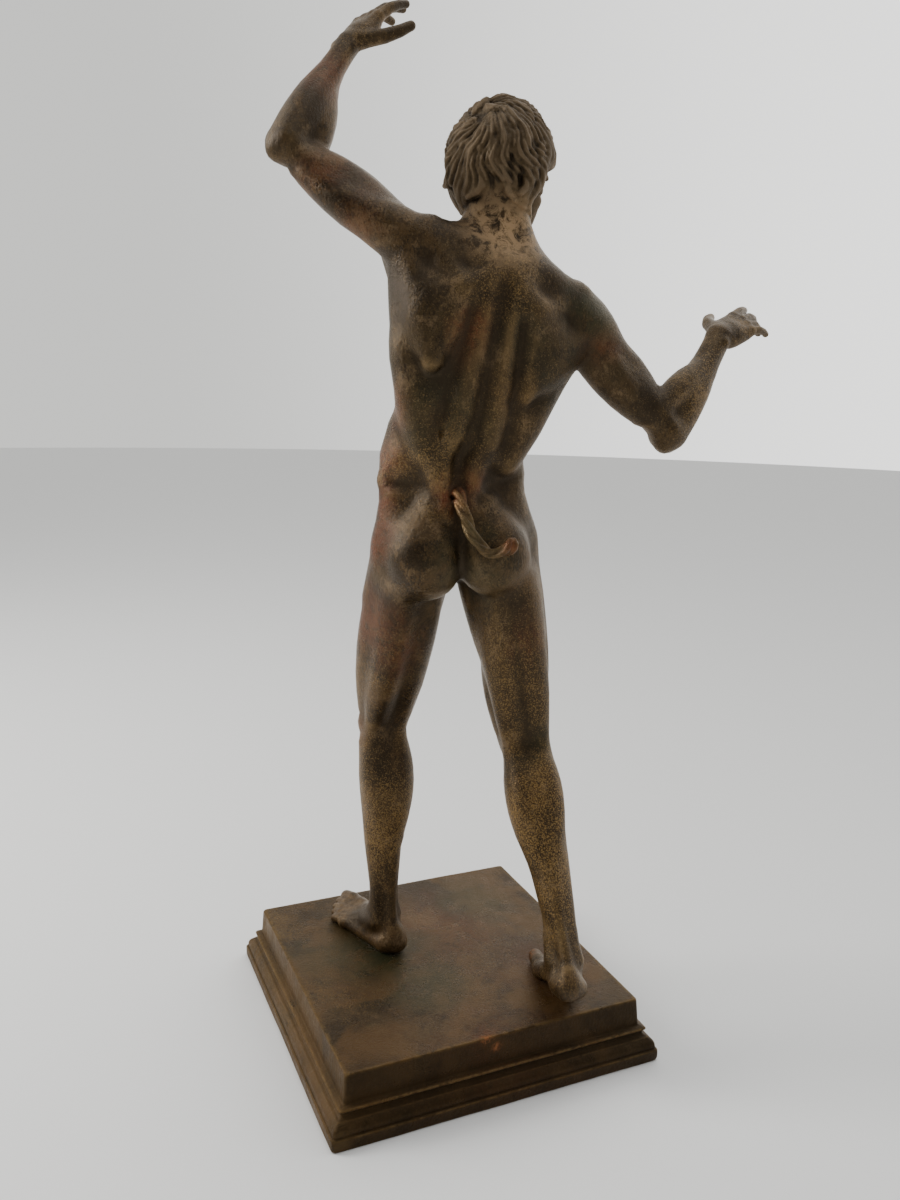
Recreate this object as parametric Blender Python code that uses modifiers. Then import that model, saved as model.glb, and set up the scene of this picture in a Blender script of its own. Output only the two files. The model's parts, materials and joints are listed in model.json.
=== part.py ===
"""Faun statue: a cast figure that stands on a square moulded plinth.

Sizes are metres. The figure is laid out in thousandths of its standing height. It faces -Y.
"""
import math

import bpy
import numpy as np
import openvdb

# Plinth sizes
PLINTH_TOP_SIDE = 0.240
PLINTH_BASE_SIDE = 0.267
PLATE_HEIGHT = 0.0097
MOULDING_HEIGHT = 0.0170
SLAB_HEIGHT = 0.0219
SLAB_DRAFT = 0.0015
EDGE_ROUND = 0.0012

# Figure sizes
FIGURE_HEIGHT = 0.660
FACET_STEP = 2.6
FIGURE_TRIANGLES = 9600

# Clearance between the soles and the plinth
SEAT_GAP = 0.0003

# Height of the flat soles in thousandths of the figure's height
SOLE_LEVEL = 1.2

PLINTH_HEIGHT = PLATE_HEIGHT + MOULDING_HEIGHT + SLAB_HEIGHT

for leftover in list(bpy.data.objects):
    bpy.data.objects.remove(leftover)


def vec(*values):
    return np.array(values, float)


def unit(v):
    return v / np.linalg.norm(v)


class Frame:
    """Axes of a stiff part of the body: side points to its left, front forwards, up along it."""

    def __init__(self, origin, side, front, up):
        self.origin, self.side, self.front, self.up = origin, side, front, up

    def at(self, side, front, up):
        return self.origin + side * self.side + front * self.front + up * self.up

    def turn(self, side, front, up):
        return side * self.side + front * self.front + up * self.up


def stiff(origin, yaw, roll, pitch):
    """yaw turns the front towards +X, roll lifts the left side, pitch leans forwards, in degrees."""
    yaw, roll, pitch = (math.radians(a) for a in (yaw, roll, pitch))
    side = vec(math.cos(yaw), math.sin(yaw), 0)
    front = vec(math.sin(yaw), -math.cos(yaw), 0)
    up = vec(0, 0, 1)
    side, up = side * math.cos(roll) + up * math.sin(roll), up * math.cos(roll) - side * math.sin(roll)
    nod, tip = math.cos(pitch), math.sin(pitch)
    up, front = up * nod + front * tip, front * nod - up * tip
    return Frame(origin, side, front, up)


class Bone:
    """Axes of a limb's stretch from joint a to joint b. out points away from the body's middle."""

    def __init__(self, a, b, front, out):
        self.a, self.b = a, b
        self.axis = unit(b - a)
        self.front = unit(front - self.axis * (front @ self.axis))
        side = np.cross(self.axis, self.front)
        self.side = side if side @ out > 0 else -side

    def at(self, share, side, front):
        return self.a + (self.b - self.a) * share + self.side * side + self.front * front


def middle_joint(a, c, first, second, pole):
    """The knee or elbow between a and c, on the side that pole points to."""
    span = c - a
    reach = np.linalg.norm(span)
    reach_limit = (first + second) * 0.999
    reach = min(reach, reach_limit)
    along = (first**2 - second**2 + reach**2) / (2 * reach)
    off = math.sqrt(max(first**2 - along**2, 0))
    axis = unit(span)
    return a + axis * along + unit(pole - axis * (pole @ axis)) * off


MARGIN = 45.0


class Shapes:
    """Shapes that melt into each other, kept in the order they are added."""

    def __init__(self):
        self.ops = []

    def spindle(self, a, b, radii, blend=8, bow=None, flat=None):
        """A muscle from a to b. radii are at its start, middle and end; flat is (direction, share)."""
        bow = np.zeros(3) if bow is None else bow
        reach = max(radii) + blend + 2 + np.abs(bow).max()
        low, high = np.minimum(a, b) - reach, np.maximum(a, b) + reach
        self.ops.append(("spindle", low, high, (a, b, radii, bow, flat), blend))

    def ball(self, centre, radii, frame=None, blend=8):
        """An ellipsoid whose radii run along the frame's side, front and up."""
        axes = np.eye(3) if frame is None else np.array([frame.side, frame.front, frame.up])
        reach = max(radii) + blend + 2
        self.ops.append(("ball", centre - reach, centre + reach, (centre, axes, vec(*radii)), blend))

    def chain(self, points, radii, blend=3, flat=None):
        """A rope through the points, such as a finger or a lock of hair."""
        points = [np.asarray(p, float) for p in points]
        reach = max(radii) + blend + 2
        low, high = np.min(points, 0) - reach, np.max(points, 0) + reach
        self.ops.append(("chain", low, high, (points, radii, flat), blend))

    def crease(self, points, width, depth):
        """Sinks the surface by depth along a line, or raises it where depth is below 0."""
        points = [np.asarray(p, float) for p in points]
        reach = width * 2.6
        low, high = np.min(points, 0) - reach, np.max(points, 0) + reach
        self.ops.append(("crease", low, high, (points, width, depth), 0))

    def carve(self, centre, radii, frame=None, blend=3):
        axes = np.eye(3) if frame is None else np.array([frame.side, frame.front, frame.up])
        reach = max(radii) + blend + 2
        self.ops.append(("carve", centre - reach, centre + reach, (centre, axes, vec(*radii)), blend))

    def cut_below(self, height, blend=1.0):
        self.ops.append(("floor", vec(-9e3, -9e3, -9e3), vec(9e3, 9e3, 9e3), height, blend))


def segment_distance(x, y, z, a, b, ra, rb, flat):
    ab = (b - a).astype(np.float32)
    a = a.astype(np.float32)
    t = ((x - a[0]) * ab[0] + (y - a[1]) * ab[1] + (z - a[2]) * ab[2]) / np.float32(max(ab @ ab, 1e-9))
    t = np.clip(t, 0, 1)
    qx, qy, qz = x - a[0] - t * ab[0], y - a[1] - t * ab[1], z - a[2] - t * ab[2]
    if flat is not None:
        n, share = flat[0].astype(np.float32), np.float32(1 / flat[1] - 1)
        qn = (qx * n[0] + qy * n[1] + qz * n[2]) * share
        qx, qy, qz = qx + n[0] * qn, qy + n[1] * qn, qz + n[2] * qn
    return np.sqrt(qx * qx + qy * qy + qz * qz) - (ra + t * np.float32(rb - ra))


def evaluate(kind, data, x, y, z):
    if kind == "spindle":
        a, b, (r0, r1, r2), bow, flat = data
        a, ab, bow = a.astype(np.float32), (b - a).astype(np.float32), bow.astype(np.float32)
        t = ((x - a[0]) * ab[0] + (y - a[1]) * ab[1] + (z - a[2]) * ab[2]) / np.float32(ab @ ab)
        t = np.clip(t, 0, 1)
        hump = 4 * t * (1 - t)
        qx = x - a[0] - t * ab[0] - hump * bow[0]
        qy = y - a[1] - t * ab[1] - hump * bow[1]
        qz = z - a[2] - t * ab[2] - hump * bow[2]
        if flat is not None:
            n, share = flat[0].astype(np.float32), np.float32(1 / flat[1] - 1)
            qn = (qx * n[0] + qy * n[1] + qz * n[2]) * share
            qx, qy, qz = qx + n[0] * qn, qy + n[1] * qn, qz + n[2] * qn
        radius = r0 + t * np.float32(r2 - r0) + hump * np.float32(r1 - (r0 + r2) / 2)
        return np.sqrt(qx * qx + qy * qy + qz * qz) - radius
    if kind in ("ball", "carve"):
        centre, axes, radii = data
        m = (axes / radii[:, None]).astype(np.float32)
        c = centre.astype(np.float32)
        px, py, pz = x - c[0], y - c[1], z - c[2]
        k0 = k1 = 0
        for row, r in zip(m, radii):
            u = px * row[0] + py * row[1] + pz * row[2]
            k0 = k0 + u * u
            k1 = k1 + (u / np.float32(r)) ** 2
        k0, k1 = np.sqrt(k0), np.sqrt(k1)
        return k0 * (k0 - 1) / np.maximum(k1, 1e-6)
    if kind == "chain":
        points, radii, flat = data
        d = None
        for i in range(len(points) - 1):
            e = segment_distance(x, y, z, points[i], points[i + 1], radii[i], radii[i + 1], flat)
            d = e if d is None else np.minimum(d, e)
        return d
    if kind == "crease":
        points, width, depth = data
        d = None
        for i in range(len(points) - 1):
            e = segment_distance(x, y, z, points[i], points[i + 1], 0, 0, None)
            d = e if d is None else np.minimum(d, e)
        return np.float32(depth) * np.exp(-((d / np.float32(width)) ** 2))
    raise ValueError(kind)


def soft_min(a, b, k):
    h = np.maximum(k - np.abs(a - b), 0) / k
    return np.minimum(a, b) - h * h * (k / 4)


def grid_of(shapes, step, tile=48):
    """An openvdb level set of the shapes, filled tile by tile."""
    joins = [o for o in shapes.ops if o[0] in ("spindle", "ball", "chain")]
    low = np.min([o[1] for o in joins], 0)
    high = np.max([o[2] for o in joins], 0)
    first = np.floor(low / step).astype(int)
    last = np.ceil(high / step).astype(int)
    band = np.float32(step * 3)
    grid = openvdb.FloatGrid(float(band))
    grid.transform = openvdb.createLinearTransform(voxelSize=float(step))
    far = np.float32(MARGIN)
    for i in range(first[0], last[0], tile):
        for j in range(first[1], last[1], tile):
            for k in range(first[2], last[2], tile):
                corner = np.array([i, j, k])
                lo, hi = corner * step, (corner + tile) * step
                near = [o for o in shapes.ops if (o[1] < hi).all() and (o[2] > lo).all()]
                if not any(o[0] in ("spindle", "ball", "chain") for o in near):
                    continue
                values = np.full((tile,) * 3, far, np.float32)
                run = np.arange(tile)
                axes = [(corner[n] + run).astype(np.float32) * np.float32(step) for n in range(3)]
                for kind, olow, ohigh, data, blend in near:
                    s = [
                        slice(*np.clip(np.searchsorted(axes[n], (olow[n], ohigh[n])), 0, tile))
                        for n in range(3)
                    ]
                    if any(t.stop <= t.start for t in s):
                        continue
                    part = values[s[0], s[1], s[2]]
                    x = axes[0][s[0]][:, None, None]
                    y = axes[1][s[1]][None, :, None]
                    z = axes[2][s[2]][None, None, :]
                    if kind == "crease":
                        part += evaluate(kind, data, x, y, z)
                    elif kind == "carve":
                        part[...] = -soft_min(-part, evaluate(kind, data, x, y, z), np.float32(blend))
                    elif kind == "floor":
                        part[...] = -soft_min(-part, z - np.float32(data) + 0 * part, np.float32(blend))
                    else:
                        part[...] = soft_min(part, evaluate(kind, data, x, y, z), np.float32(blend))
                values = np.clip(values, -band, band)
                if values.min() >= band:
                    continue
                grid.copyFromArray(values, ijk=(int(i), int(j), int(k)), tolerance=0.0)
    return grid


def one_skin(points, quads):
    """Only the largest connected surface, without the sealed pockets between locks of hair."""
    label = np.arange(len(points))
    ends = np.vstack([quads[:, (0, 1)], quads[:, (1, 2)], quads[:, (2, 3)]])
    while True:
        low = np.minimum(label[ends[:, 0]], label[ends[:, 1]])
        after = label.copy()
        np.minimum.at(after, label[ends[:, 0]], low)
        np.minimum.at(after, label[ends[:, 1]], low)
        while (after[after] != after).any():
            after = after[after]
        if (after == label).all():
            break
        label = after
    biggest = np.bincount(label).argmax()
    keep = label == biggest
    number = np.cumsum(keep) - 1
    return points[keep], number[quads[keep[quads[:, 0]]]]


THIGH, SHANK, UPPER_ARM, FOREARM = 245, 246, 178, 148

PELVIS = stiff(vec(0, 20, 522), yaw=-16, roll=-4, pitch=4)
CHEST = stiff(vec(-14, 24, 714), yaw=-10, roll=9, pitch=-5)
HEAD = stiff(vec(-50, 8, 930), yaw=-38, roll=-4, pitch=6)
SIDES = {"left": 1, "right": -1}

ANKLE = {"left": vec(56, -44, 42), "right": vec(-86, 166, 68)}
BALL = {"left": None, "right": vec(-92, 102, 12)}
FOOT_YAW = {"left": 14, "right": -20}
SHOULDER = {"left": CHEST.at(84, 2, 124), "right": CHEST.at(-94, -4, 92)}
WRIST = {"left": vec(96, -88, 1068), "right": vec(-318, 62, 772)}
ELBOW_POLE = {"left": vec(1, -0.1, -0.2), "right": vec(-0.05, 0.3, -1)}
HIP = {s: PELVIS.at(50 * k, 0, 0) for s, k in SIDES.items()}
KNEE = {
    "left": middle_joint(HIP["left"], ANKLE["left"], THIGH, SHANK, vec(0.05, -1, 0)),
    "right": middle_joint(HIP["right"], ANKLE["right"], THIGH, SHANK, vec(-0.35, -1, 0)),
}
ELBOW = {s: middle_joint(SHOULDER[s], WRIST[s], UPPER_ARM, FOREARM, ELBOW_POLE[s]) for s in SIDES}


def torso(f):
    P, C = PELVIS, CHEST
    waist = (P.at(0, 2, 130) + C.at(0, 2, -76)) / 2
    # pelvis and belly
    f.ball(P.at(0, -2, 28), (80, 53, 58), P, 20)
    f.ball(P.at(0, 4, 92), (69, 46, 58), P, 24)
    f.ball(waist, (70, 48, 56), C, 24)
    # rib cage
    f.ball(C.at(0, -2, 0), (83, 58, 112), C, 24)
    f.ball(C.at(0, -6, 64), (86, 53, 62), C, 20)
    for name, k in SIDES.items():
        raised = name == "left"
        lift = 14 if raised else 0
        root = SHOULDER[name]
        arm_at = root * 0.86 + ELBOW[name] * 0.14
        # armpit filling
        f.ball(C.at(66 * k, -4, 66 + lift), (34, 40, 46), C, 20)
        # hip bones, flank
        f.spindle(P.at(50 * k, 34, 50), P.at(72 * k, -4, 84), (8, 11, 12), 16)
        f.ball(P.at(55 * k, 4, 104), (20, 36, 25), P, 17)
        f.spindle(P.at(54 * k, 6, 112), C.at(60 * k, 12, -70), (18, 18, 18), 16)
        # buttock
        f.ball(P.at(38 * k, -36, -4), (42, 37, 46), P, 9)
        f.spindle(P.at(24 * k, -36, 44), P.at(60 * k, -24, -26), (20, 32, 24), 14)
        f.spindle(P.at(62 * k, -8, 62), P.at(66 * k, -4, 0), (20, 25, 22), 16)
        # belly muscle in rows
        rows = [P.at(12 * k, 36, 12), P.at(18 * k, 37, 74),
                (P.at(18 * k, 36, 116) + C.at(19 * k, 38, -92)) / 2,
                C.at(20 * k, 43, -62), C.at(20 * k, 45, -26)]
        f.spindle(rows[0], rows[1], (12, 17, 14), 9)
        for a, b in zip(rows[1:], rows[2:]):
            f.spindle(a * 0.78 + b * 0.22, b * 0.78 + a * 0.22, (12, 15, 12), 8)
        # breast muscle
        f.ball(C.at(40 * k, 37, 42 + lift / 2), (42, 23, 33), C, 9)
        f.spindle(C.at(48 * k, 38, 46), root * 0.75 + ELBOW[name] * 0.25 + C.turn(0, 8, 0), (27, 23, 12),
                  12)
        f.spindle(C.at(16 * k, 35, 80), C.at(76 * k, 20, 98 + lift), (7, 12, 12), 18)
        # collar bone
        f.spindle(C.at(9 * k, 38, 104), C.at(84 * k, 10, 116 + lift), (5.5, 4.6, 6.5), 8,
                  bow=C.turn(0, 5, 2))
        # side ribs and saw muscle
        for i in range(4):
            slope = math.radians(16 + 8 * i)
            level = 2 - 21 * i
            shrink = math.sqrt(1 - (level / 112) ** 2) * 0.93
            back = slope - math.radians(30)
            a = C.at(83 * shrink * math.cos(slope) * k, 58 * shrink * math.sin(slope) - 2, level - 5)
            b = C.at(83 * shrink * math.cos(back) * k, 58 * shrink * math.sin(back) - 2, level + 9)
            f.spindle(a, b, (4, 7.5, 5), 9)
        # broad back muscle
        f.spindle(arm_at + C.turn(0, -6, -6), C.at(74 * k, -16, 16), (15, 20, 23), 14)
        f.spindle(C.at(74 * k, -16, 24), C.at(46 * k, -34, -80), (22, 25, 12), 16)
        f.spindle(C.at(46 * k, -34, -70), P.at(22 * k, -40, 100), (12, 12, 9), 12)
        # shoulder blade: its low corner, inner edge, ridge and the muscles on it
        low = C.at((59 if raised else 46) * k, -51, 0 + lift)
        high = C.at((37 if raised else 39) * k, -50, 84 + lift / 2)
        f.ball(C.at((60 if raised else 56) * k, -37, 46 + lift), (31, 21, 38), C, 14)
        f.spindle(low, high, (7, 7, 6), 12)
        f.spindle(high, root + C.turn(2 * k, -12, 18), (7, 9, 12), 11)
        f.spindle(low + C.turn(6 * k, 3, 18), arm_at + C.turn(0, -11, 8), (10, 15, 12), 10)
        f.spindle(low + C.turn(2 * k, 3, -2), arm_at + C.turn(0, -9, -8), (11, 15, 13), 10)
        # cowl muscle
        f.spindle(C.at(12 * k, -27, 122), root + C.turn(-8 * k, -10, 20), (20, 18, 14), 15)
        f.spindle(C.at(14 * k, -44, 98), C.at(8 * k, -51, -34), (13, 11, 5), 12)
        f.spindle(C.at(12 * k, -36, 112), high + C.turn(6 * k, 4, 0), (13, 12, 8), 16)
        # long back muscles
        f.spindle(C.at(17 * k, -49, 52), C.at(21 * k, -48, -58), (7, 13, 9), 8)
        f.spindle(C.at(19 * k, -45, -10), P.at(20 * k, -38, 104), (9, 18, 17), 10)
        f.spindle(P.at(20 * k, -37, 114), P.at(11 * k, -46, 46), (17, 15, 8), 11)
        # valleys beside the blade, under the broad muscle's upper edge and over the hip bone
        f.crease([C.at(30 * k, -60, 66), C.at(37 * k, -60, 2), C.at(42 * k, -57, -40)], 7, 4)
        f.crease([low + C.turn(-12 * k, -6, -12), low + C.turn(8 * k, -6, -18),
                  C.at(84 * k, -24, 22 + lift)], 7, 3)
        f.crease([C.at(43 * k, -56, -46), C.at(39 * k, -52, -92), P.at(42 * k, -46, 92)], 9, 3.2)
        f.crease([P.at(40 * k, -46, 80), P.at(60 * k, -30, 82), P.at(78 * k, 2, 76)], 8, 2.2)
        f.crease([P.at(24 * k, -54, 62), P.at(25 * k, -55, 58)], 8, 2.6)
    # middle lines, navel
    f.crease([C.at(0, 62, 88), C.at(0, 60, 22)], 5, 5)
    f.crease([C.at(0, 60, -22), (P.at(0, 56, 116) + C.at(0, 58, -92)) / 2, P.at(0, 56, 92)], 4.5, 4.5)
    f.ball(P.at(0, 51, 80), (9, 5, 10), P, 5)
    f.carve(P.at(0, 57, 80), (3.5, 8, 5), P, 4)
    f.crease([C.at(0, -62, 112), C.at(0, -64, 20), C.at(0, -60, -60),
              (C.at(0, -56, -95) + P.at(0, -54, 120)) / 2,
              P.at(0, -56, 70)], 7, 11)
    for k in (1, -1):
        # groin line and the edge of the rib arch
        f.crease([P.at(66 * k, 30, 62), P.at(40 * k, 46, 24), P.at(14 * k, 50, -14)], 6, 3.5)
        f.crease([C.at(10 * k, 62, -16), C.at(30 * k, 57, -34), C.at(52 * k, 46, -66)], 5, 2.5)
        f.ball(C.at(46 * k, 59, 26), (3.6, 2.6, 3.6), C, 3)


def leg(f, name):
    k = SIDES[name]
    P = PELVIS
    out = P.side * k
    hip, knee, ankle = HIP[name], KNEE[name], ANKLE[name]
    yaw = math.radians(FOOT_YAW[name])
    ahead = vec(math.sin(yaw), -math.cos(yaw), 0)
    bend = unit((knee - (hip + ankle) / 2)) if np.linalg.norm(knee - (hip + ankle) / 2) > 12 else ahead
    front = unit(bend + ahead * 0.6)
    T = Bone(hip, knee, front, out)
    S = Bone(knee, ankle, front, out)
    # thigh
    f.spindle(T.at(-0.02, 4, 0), T.at(1, 0, 0), (44, 35, 23), 10)
    f.spindle(T.at(0.0, 8, 20), T.at(0.9, 2, 17), (18, 26, 12), 9, bow=T.front * 6)
    f.spindle(T.at(0.14, 26, 4), T.at(0.88, 18, 10), (18, 23, 12), 8)
    f.spindle(T.at(0.40, -20, 12), T.at(0.95, -18, 12), (11, 20, 13), 7)
    f.spindle(T.at(-0.02, -24, 0), T.at(0.62, -20, -6), (28, 26, 12), 10)
    f.spindle(T.at(0.06, 12, -24), T.at(1.03, 19, -13), (22, 23, 7), 7)
    f.spindle(T.at(0.06, -10, -24), T.at(1.04, -17, -13), (22, 23, 7), 7)
    f.spindle(P.at(58 * k, -22, -20), T.at(0.42, 26, -10), (24, 20, 10), 12)
    f.spindle(P.at(60 * k, 26, 56), T.at(0.24, 27, 15), (7, 13, 12), 15)
    # knee
    f.ball(S.at(-0.03, 13, -2), (17, 17, 20), None, 6)
    f.ball(S.at(-0.03, -13, -2), (17, 17, 20), None, 6)
    f.ball(S.at(-0.03, 0, 20), (13, 9, 15), Frame(knee, S.side, S.front, S.axis), 5)
    f.spindle(S.at(0.02, 0, 20), S.at(0.13, -1, 18), (7, 7, 8), 5)
    # shank
    f.spindle(S.at(0, 0, 0), S.at(1.02, 1, 0), (22, 18, 14), 10)
    f.spindle(S.at(0.06, -5, 13), S.at(0.95, -5, 5), (10, 8, 8), 9)
    f.spindle(S.at(0.08, 9, 12), S.at(0.86, 0, 6), (10, 14, 5), 10)
    f.spindle(S.at(0.0, -13, -13), S.at(0.56, -10, -15), (11, 24, 9), 10)
    f.spindle(S.at(0.0, 13, -13), S.at(0.52, 10, -14), (11, 22, 8), 10)
    f.spindle(S.at(0.18, 0, -8), S.at(0.93, 0, -9), (20, 20, 6), 12)
    f.spindle(S.at(0.08, 18, 0), S.at(0.96, 11, -5), (10, 11, 6), 10)
    f.spindle(S.at(0.55, 0, -19), S.at(1.05, 0, -20), (9, 5, 7.5), 8)
    f.spindle(S.at(0.90, -9, 3), S.at(1.0, -13, 2), (8, 8, 8.5), 8)
    f.spindle(S.at(0.90, 9, -3), S.at(1.02, 13, -4), (7.5, 7, 8), 8)
    foot(f, name, S, ahead)


def foot(f, name, S, ahead):
    k = SIDES[name]
    ankle = ANKLE[name]
    side = vec(ahead[1], -ahead[0], 0) * -k
    side = side if side @ (PELVIS.side * k) > 0 else -side
    up = vec(0, 0, 1)
    if BALL[name] is None:
        ball = ankle + ahead * 80 - up * (ankle[2] - 12)
        fwd, rise = ahead, up
    else:
        ball = BALL[name]
        flat_reach, flat_drop = 80.0, 30.0
        want = unit(ball - ankle)
        angle = math.atan2(-want[2], want @ ahead) - math.atan2(flat_drop, flat_reach)
        fwd = ahead * math.cos(angle) - up * math.sin(angle)
        rise = up * math.cos(angle) + ahead * math.sin(angle)

    def at(forward, out, height):
        """A point from the ankle, with height above the sole."""
        return ankle + fwd * forward + side * out + rise * (height - 42)

    # heel, arch, instep
    f.spindle(at(-24, 0, 16), at(-4, 0, 24), (16, 17, 17), 7)
    f.spindle(at(-26, 0, 30), at(-20, 1, 14), (9, 12, 15), 6)
    f.spindle(at(0, 0, 38), at(54, -6, 19), (17, 15, 10), 12)
    f.spindle(S.at(0.86, 0, 2), at(16, -2, 34), (12, 14, 13), 12)
    f.spindle(at(8, 8, 28), at(54, 8, 14), (14, 12, 8), 8)
    f.spindle(at(-16, 12, 12), at(62, 20, 9), (11, 9, 8), 7)
    f.spindle(at(-12, -8, 16), at(30, -12, 20), (12, 9, 9), 7)
    f.spindle(at(34, -12, 20), at(78, -14, 13), (10, 10, 11), 7)
    heads = [(80, -14, 12, 11), (80, -3, 12, 8), (76, 7, 11, 8), (70, 15, 10, 7.5), (62, 22, 9, 7.5)]
    for forward, out, height, radius in heads[1:]:
        f.spindle(at(40, out * 0.5, 18), at(forward, out, height), (9, 8, radius), 5)
    lengths = [36, 33, 28, 24, 20]
    radii = [(10, 8.8), (7.6, 6.2), (7.2, 5.8), (6.8, 5.5), (6.4, 5.6)]
    for (forward, out, height, radius), length, (r0, r1) in zip(heads, lengths, radii):
        root = at(forward, out, height)
        root = vec(root[0], root[1], max(root[2], r0))
        if BALL[name] is not None:
            root[2] = r0 + 2
        spread = side * out * 0.12
        hinge = root + ahead * length * 0.5 + spread * 0.5
        hinge[2] = r0 + 3.0
        tip = root + ahead * length + spread
        tip[2] = r1
        f.chain([root, hinge, tip], [r0, (r0 + r1) / 2 + 0.2, r1], 3)


def arm(f, name):
    k = SIDES[name]
    shoulder, elbow, wrist = SHOULDER[name], ELBOW[name], WRIST[name]
    inner = unit(shoulder * 0.5 + wrist * 0.5 - elbow)
    out = np.cross(unit(elbow - shoulder), inner)
    U = Bone(shoulder, elbow, inner, out)
    F = Bone(elbow, wrist, inner, out)
    thumb = THUMB_SIDE[name]
    # upper arm
    f.spindle(U.at(0, 0, 0), U.at(1, 0, 0), (21, 19, 15), 9)
    f.ball(U.at(0.02, 0, 0), (27, 27, 27), None, 10)
    outer = DELTOID[name]
    f.spindle(shoulder + outer * 8, U.at(0.46, 0, 0) + outer * 11, (25, 25, 9), 8)
    f.spindle(shoulder + CHEST.turn(-6 * k, 12, 6), U.at(0.42, 0, 0) + outer * 11 + CHEST.front * 4,
              (18, 20, 8), 7)
    f.spindle(shoulder + CHEST.turn(-6 * k, -14, 4), U.at(0.42, 0, 0) + outer * 10 - CHEST.front * 4,
              (18, 19, 8), 7)
    f.spindle(U.at(0.18, 0, 10), U.at(0.92, 0, 9), (13, 19, 8), 7, bow=U.front * 3)
    f.spindle(U.at(0.12, -4, -12), U.at(0.78, -2, -14), (15, 20, 9), 7)
    f.spindle(U.at(0.25, 9, -8), U.at(0.85, 6, -11), (12, 17, 8), 7)
    f.spindle(U.at(0.55, 10, 4), U.at(0.95, 10, 3), (10, 13, 10), 7)
    # elbow
    f.ball(elbow - U.front * 9 + U.axis * 3, (11, 11, 12), None, 6)
    f.ball(U.at(0.97, 12, 0), (10, 10, 11), None, 6)
    f.ball(U.at(0.97, -12, 0), (10, 10, 11), None, 6)
    # forearm
    f.spindle(F.at(0, 0, 0), F.at(1, 0, 0), (17, 15, 11), 8)
    f.spindle(U.at(0.82, 11, 5), F.at(0.70, 4, 3), (9, 17, 5), 10)
    f.spindle(F.at(0.02, -9, 3), F.at(0.74, -3, 1), (12, 17, 5), 10)
    f.spindle(F.at(0.04, 3, -8), F.at(0.78, 2, -3), (11, 15, 6), 10)
    flat = (PALM[name], 0.72)
    f.spindle(F.at(0.66, 0, 0), F.at(1.03, 0, 0), (13, 12.5, 14.5), 10, flat=flat)
    f.ball(F.at(0.95, 0, 0) - thumb * 9 - PALM[name] * 5, (6, 6, 6), None, 4)
    hand(f, name)


def hand(f, name):
    """palm is the way the palm faces, thumb the way the thumb side points, run the way the fingers run."""
    wrist, run, palm, thumb = WRIST[name], HAND_RUN[name], PALM[name], THUMB_SIDE[name]

    def at(along, across, depth):
        return wrist + run * along + thumb * across + palm * depth

    f.spindle(at(0, 0, 0), at(20, 0, 0), (14, 16, 17), 6, flat=(palm, 0.62))
    for across, reach in ((15, 46), (5, 49), (-5, 46), (-14, 42)):
        f.spindle(at(12, across * 0.55, 0), at(reach, across, 0), (8, 8, 7.2), 5, flat=(palm, 0.9))
    f.spindle(at(14, 14, 4), at(38, 14, 4), (8, 9, 6), 5)
    f.spindle(at(8, -11, 4), at(36, -14, 4), (8, 8, 6), 5)
    for (across, reach, lengths, radius), curl in zip(
        ((15, 46, (20, 13, 10), 6.0), (5, 49, (22, 15, 11), 6.2), (-5, 46, (20, 14, 11), 5.9),
         (-14.5, 42, (16, 11, 9), 5.4)),
        CURL[name],
    ):
        point = at(reach, across, 0)
        points, radii, angle = [point], [radius + 0.6], 0.0
        spread = across * SPREAD[name] / 100
        for i, (length, bend) in enumerate(zip(lengths, curl)):
            angle += math.radians(bend)
            way = (run + thumb * spread) * math.cos(angle) + palm * math.sin(angle)
            point = point + unit(way) * length
            points.append(point)
            radii.append(radius - 0.45 * (i + 1))
        f.chain(points, radii, 2.2)
    # thumb
    way = THUMB_RUN[name]
    a = at(10, 13, 3)
    b = a + unit(run * way[0] + thumb * way[1] + palm * way[2]) * 26
    c = b + unit(run * (way[0] + 0.25) + thumb * way[1] * 0.75 + palm * way[2]) * 18
    d = c + unit(run * (way[0] + 0.45) + thumb * way[1] * 0.5 + palm * way[2]) * 14
    f.chain([a, b, c, d], [9.0, 7.6, 6.6, 5.4], 4)


def hand_axes(name, run, palm):
    run = unit(run)
    palm = unit(palm - run * (palm @ run))
    return run, palm


HAND_RUN, PALM, THUMB_SIDE, DELTOID, CURL, SPREAD, THUMB_RUN = {}, {}, {}, {}, {}, {}, {}
HAND_RUN["left"], PALM["left"] = hand_axes("left", vec(-0.62, -0.25, 0.74), vec(-0.35, -0.2, -1))
HAND_RUN["right"], PALM["right"] = hand_axes("right", vec(-0.86, -0.22, 0.36), vec(-0.25, -0.62, -0.72))
THUMB_SIDE["left"] = np.cross(PALM["left"], HAND_RUN["left"])
THUMB_SIDE["right"] = -np.cross(PALM["right"], HAND_RUN["right"])
DELTOID["left"] = unit(vec(0.75, 0.1, 0.1) + CHEST.side * 0.3)
DELTOID["right"] = unit(vec(-0.55, 0.0, 0.85))
CURL["left"] = ((8, 14, 10), (12, 18, 12), (18, 24, 16), (22, 28, 18))
CURL["right"] = ((6, 14, 10), (12, 20, 14), (16, 24, 16), (10, 18, 14))
SPREAD["left"], SPREAD["right"] = 1.0, 1.4
THUMB_RUN["left"], THUMB_RUN["right"] = (0.55, 0.8, 0.3), (0.6, 0.75, 0.35)


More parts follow.
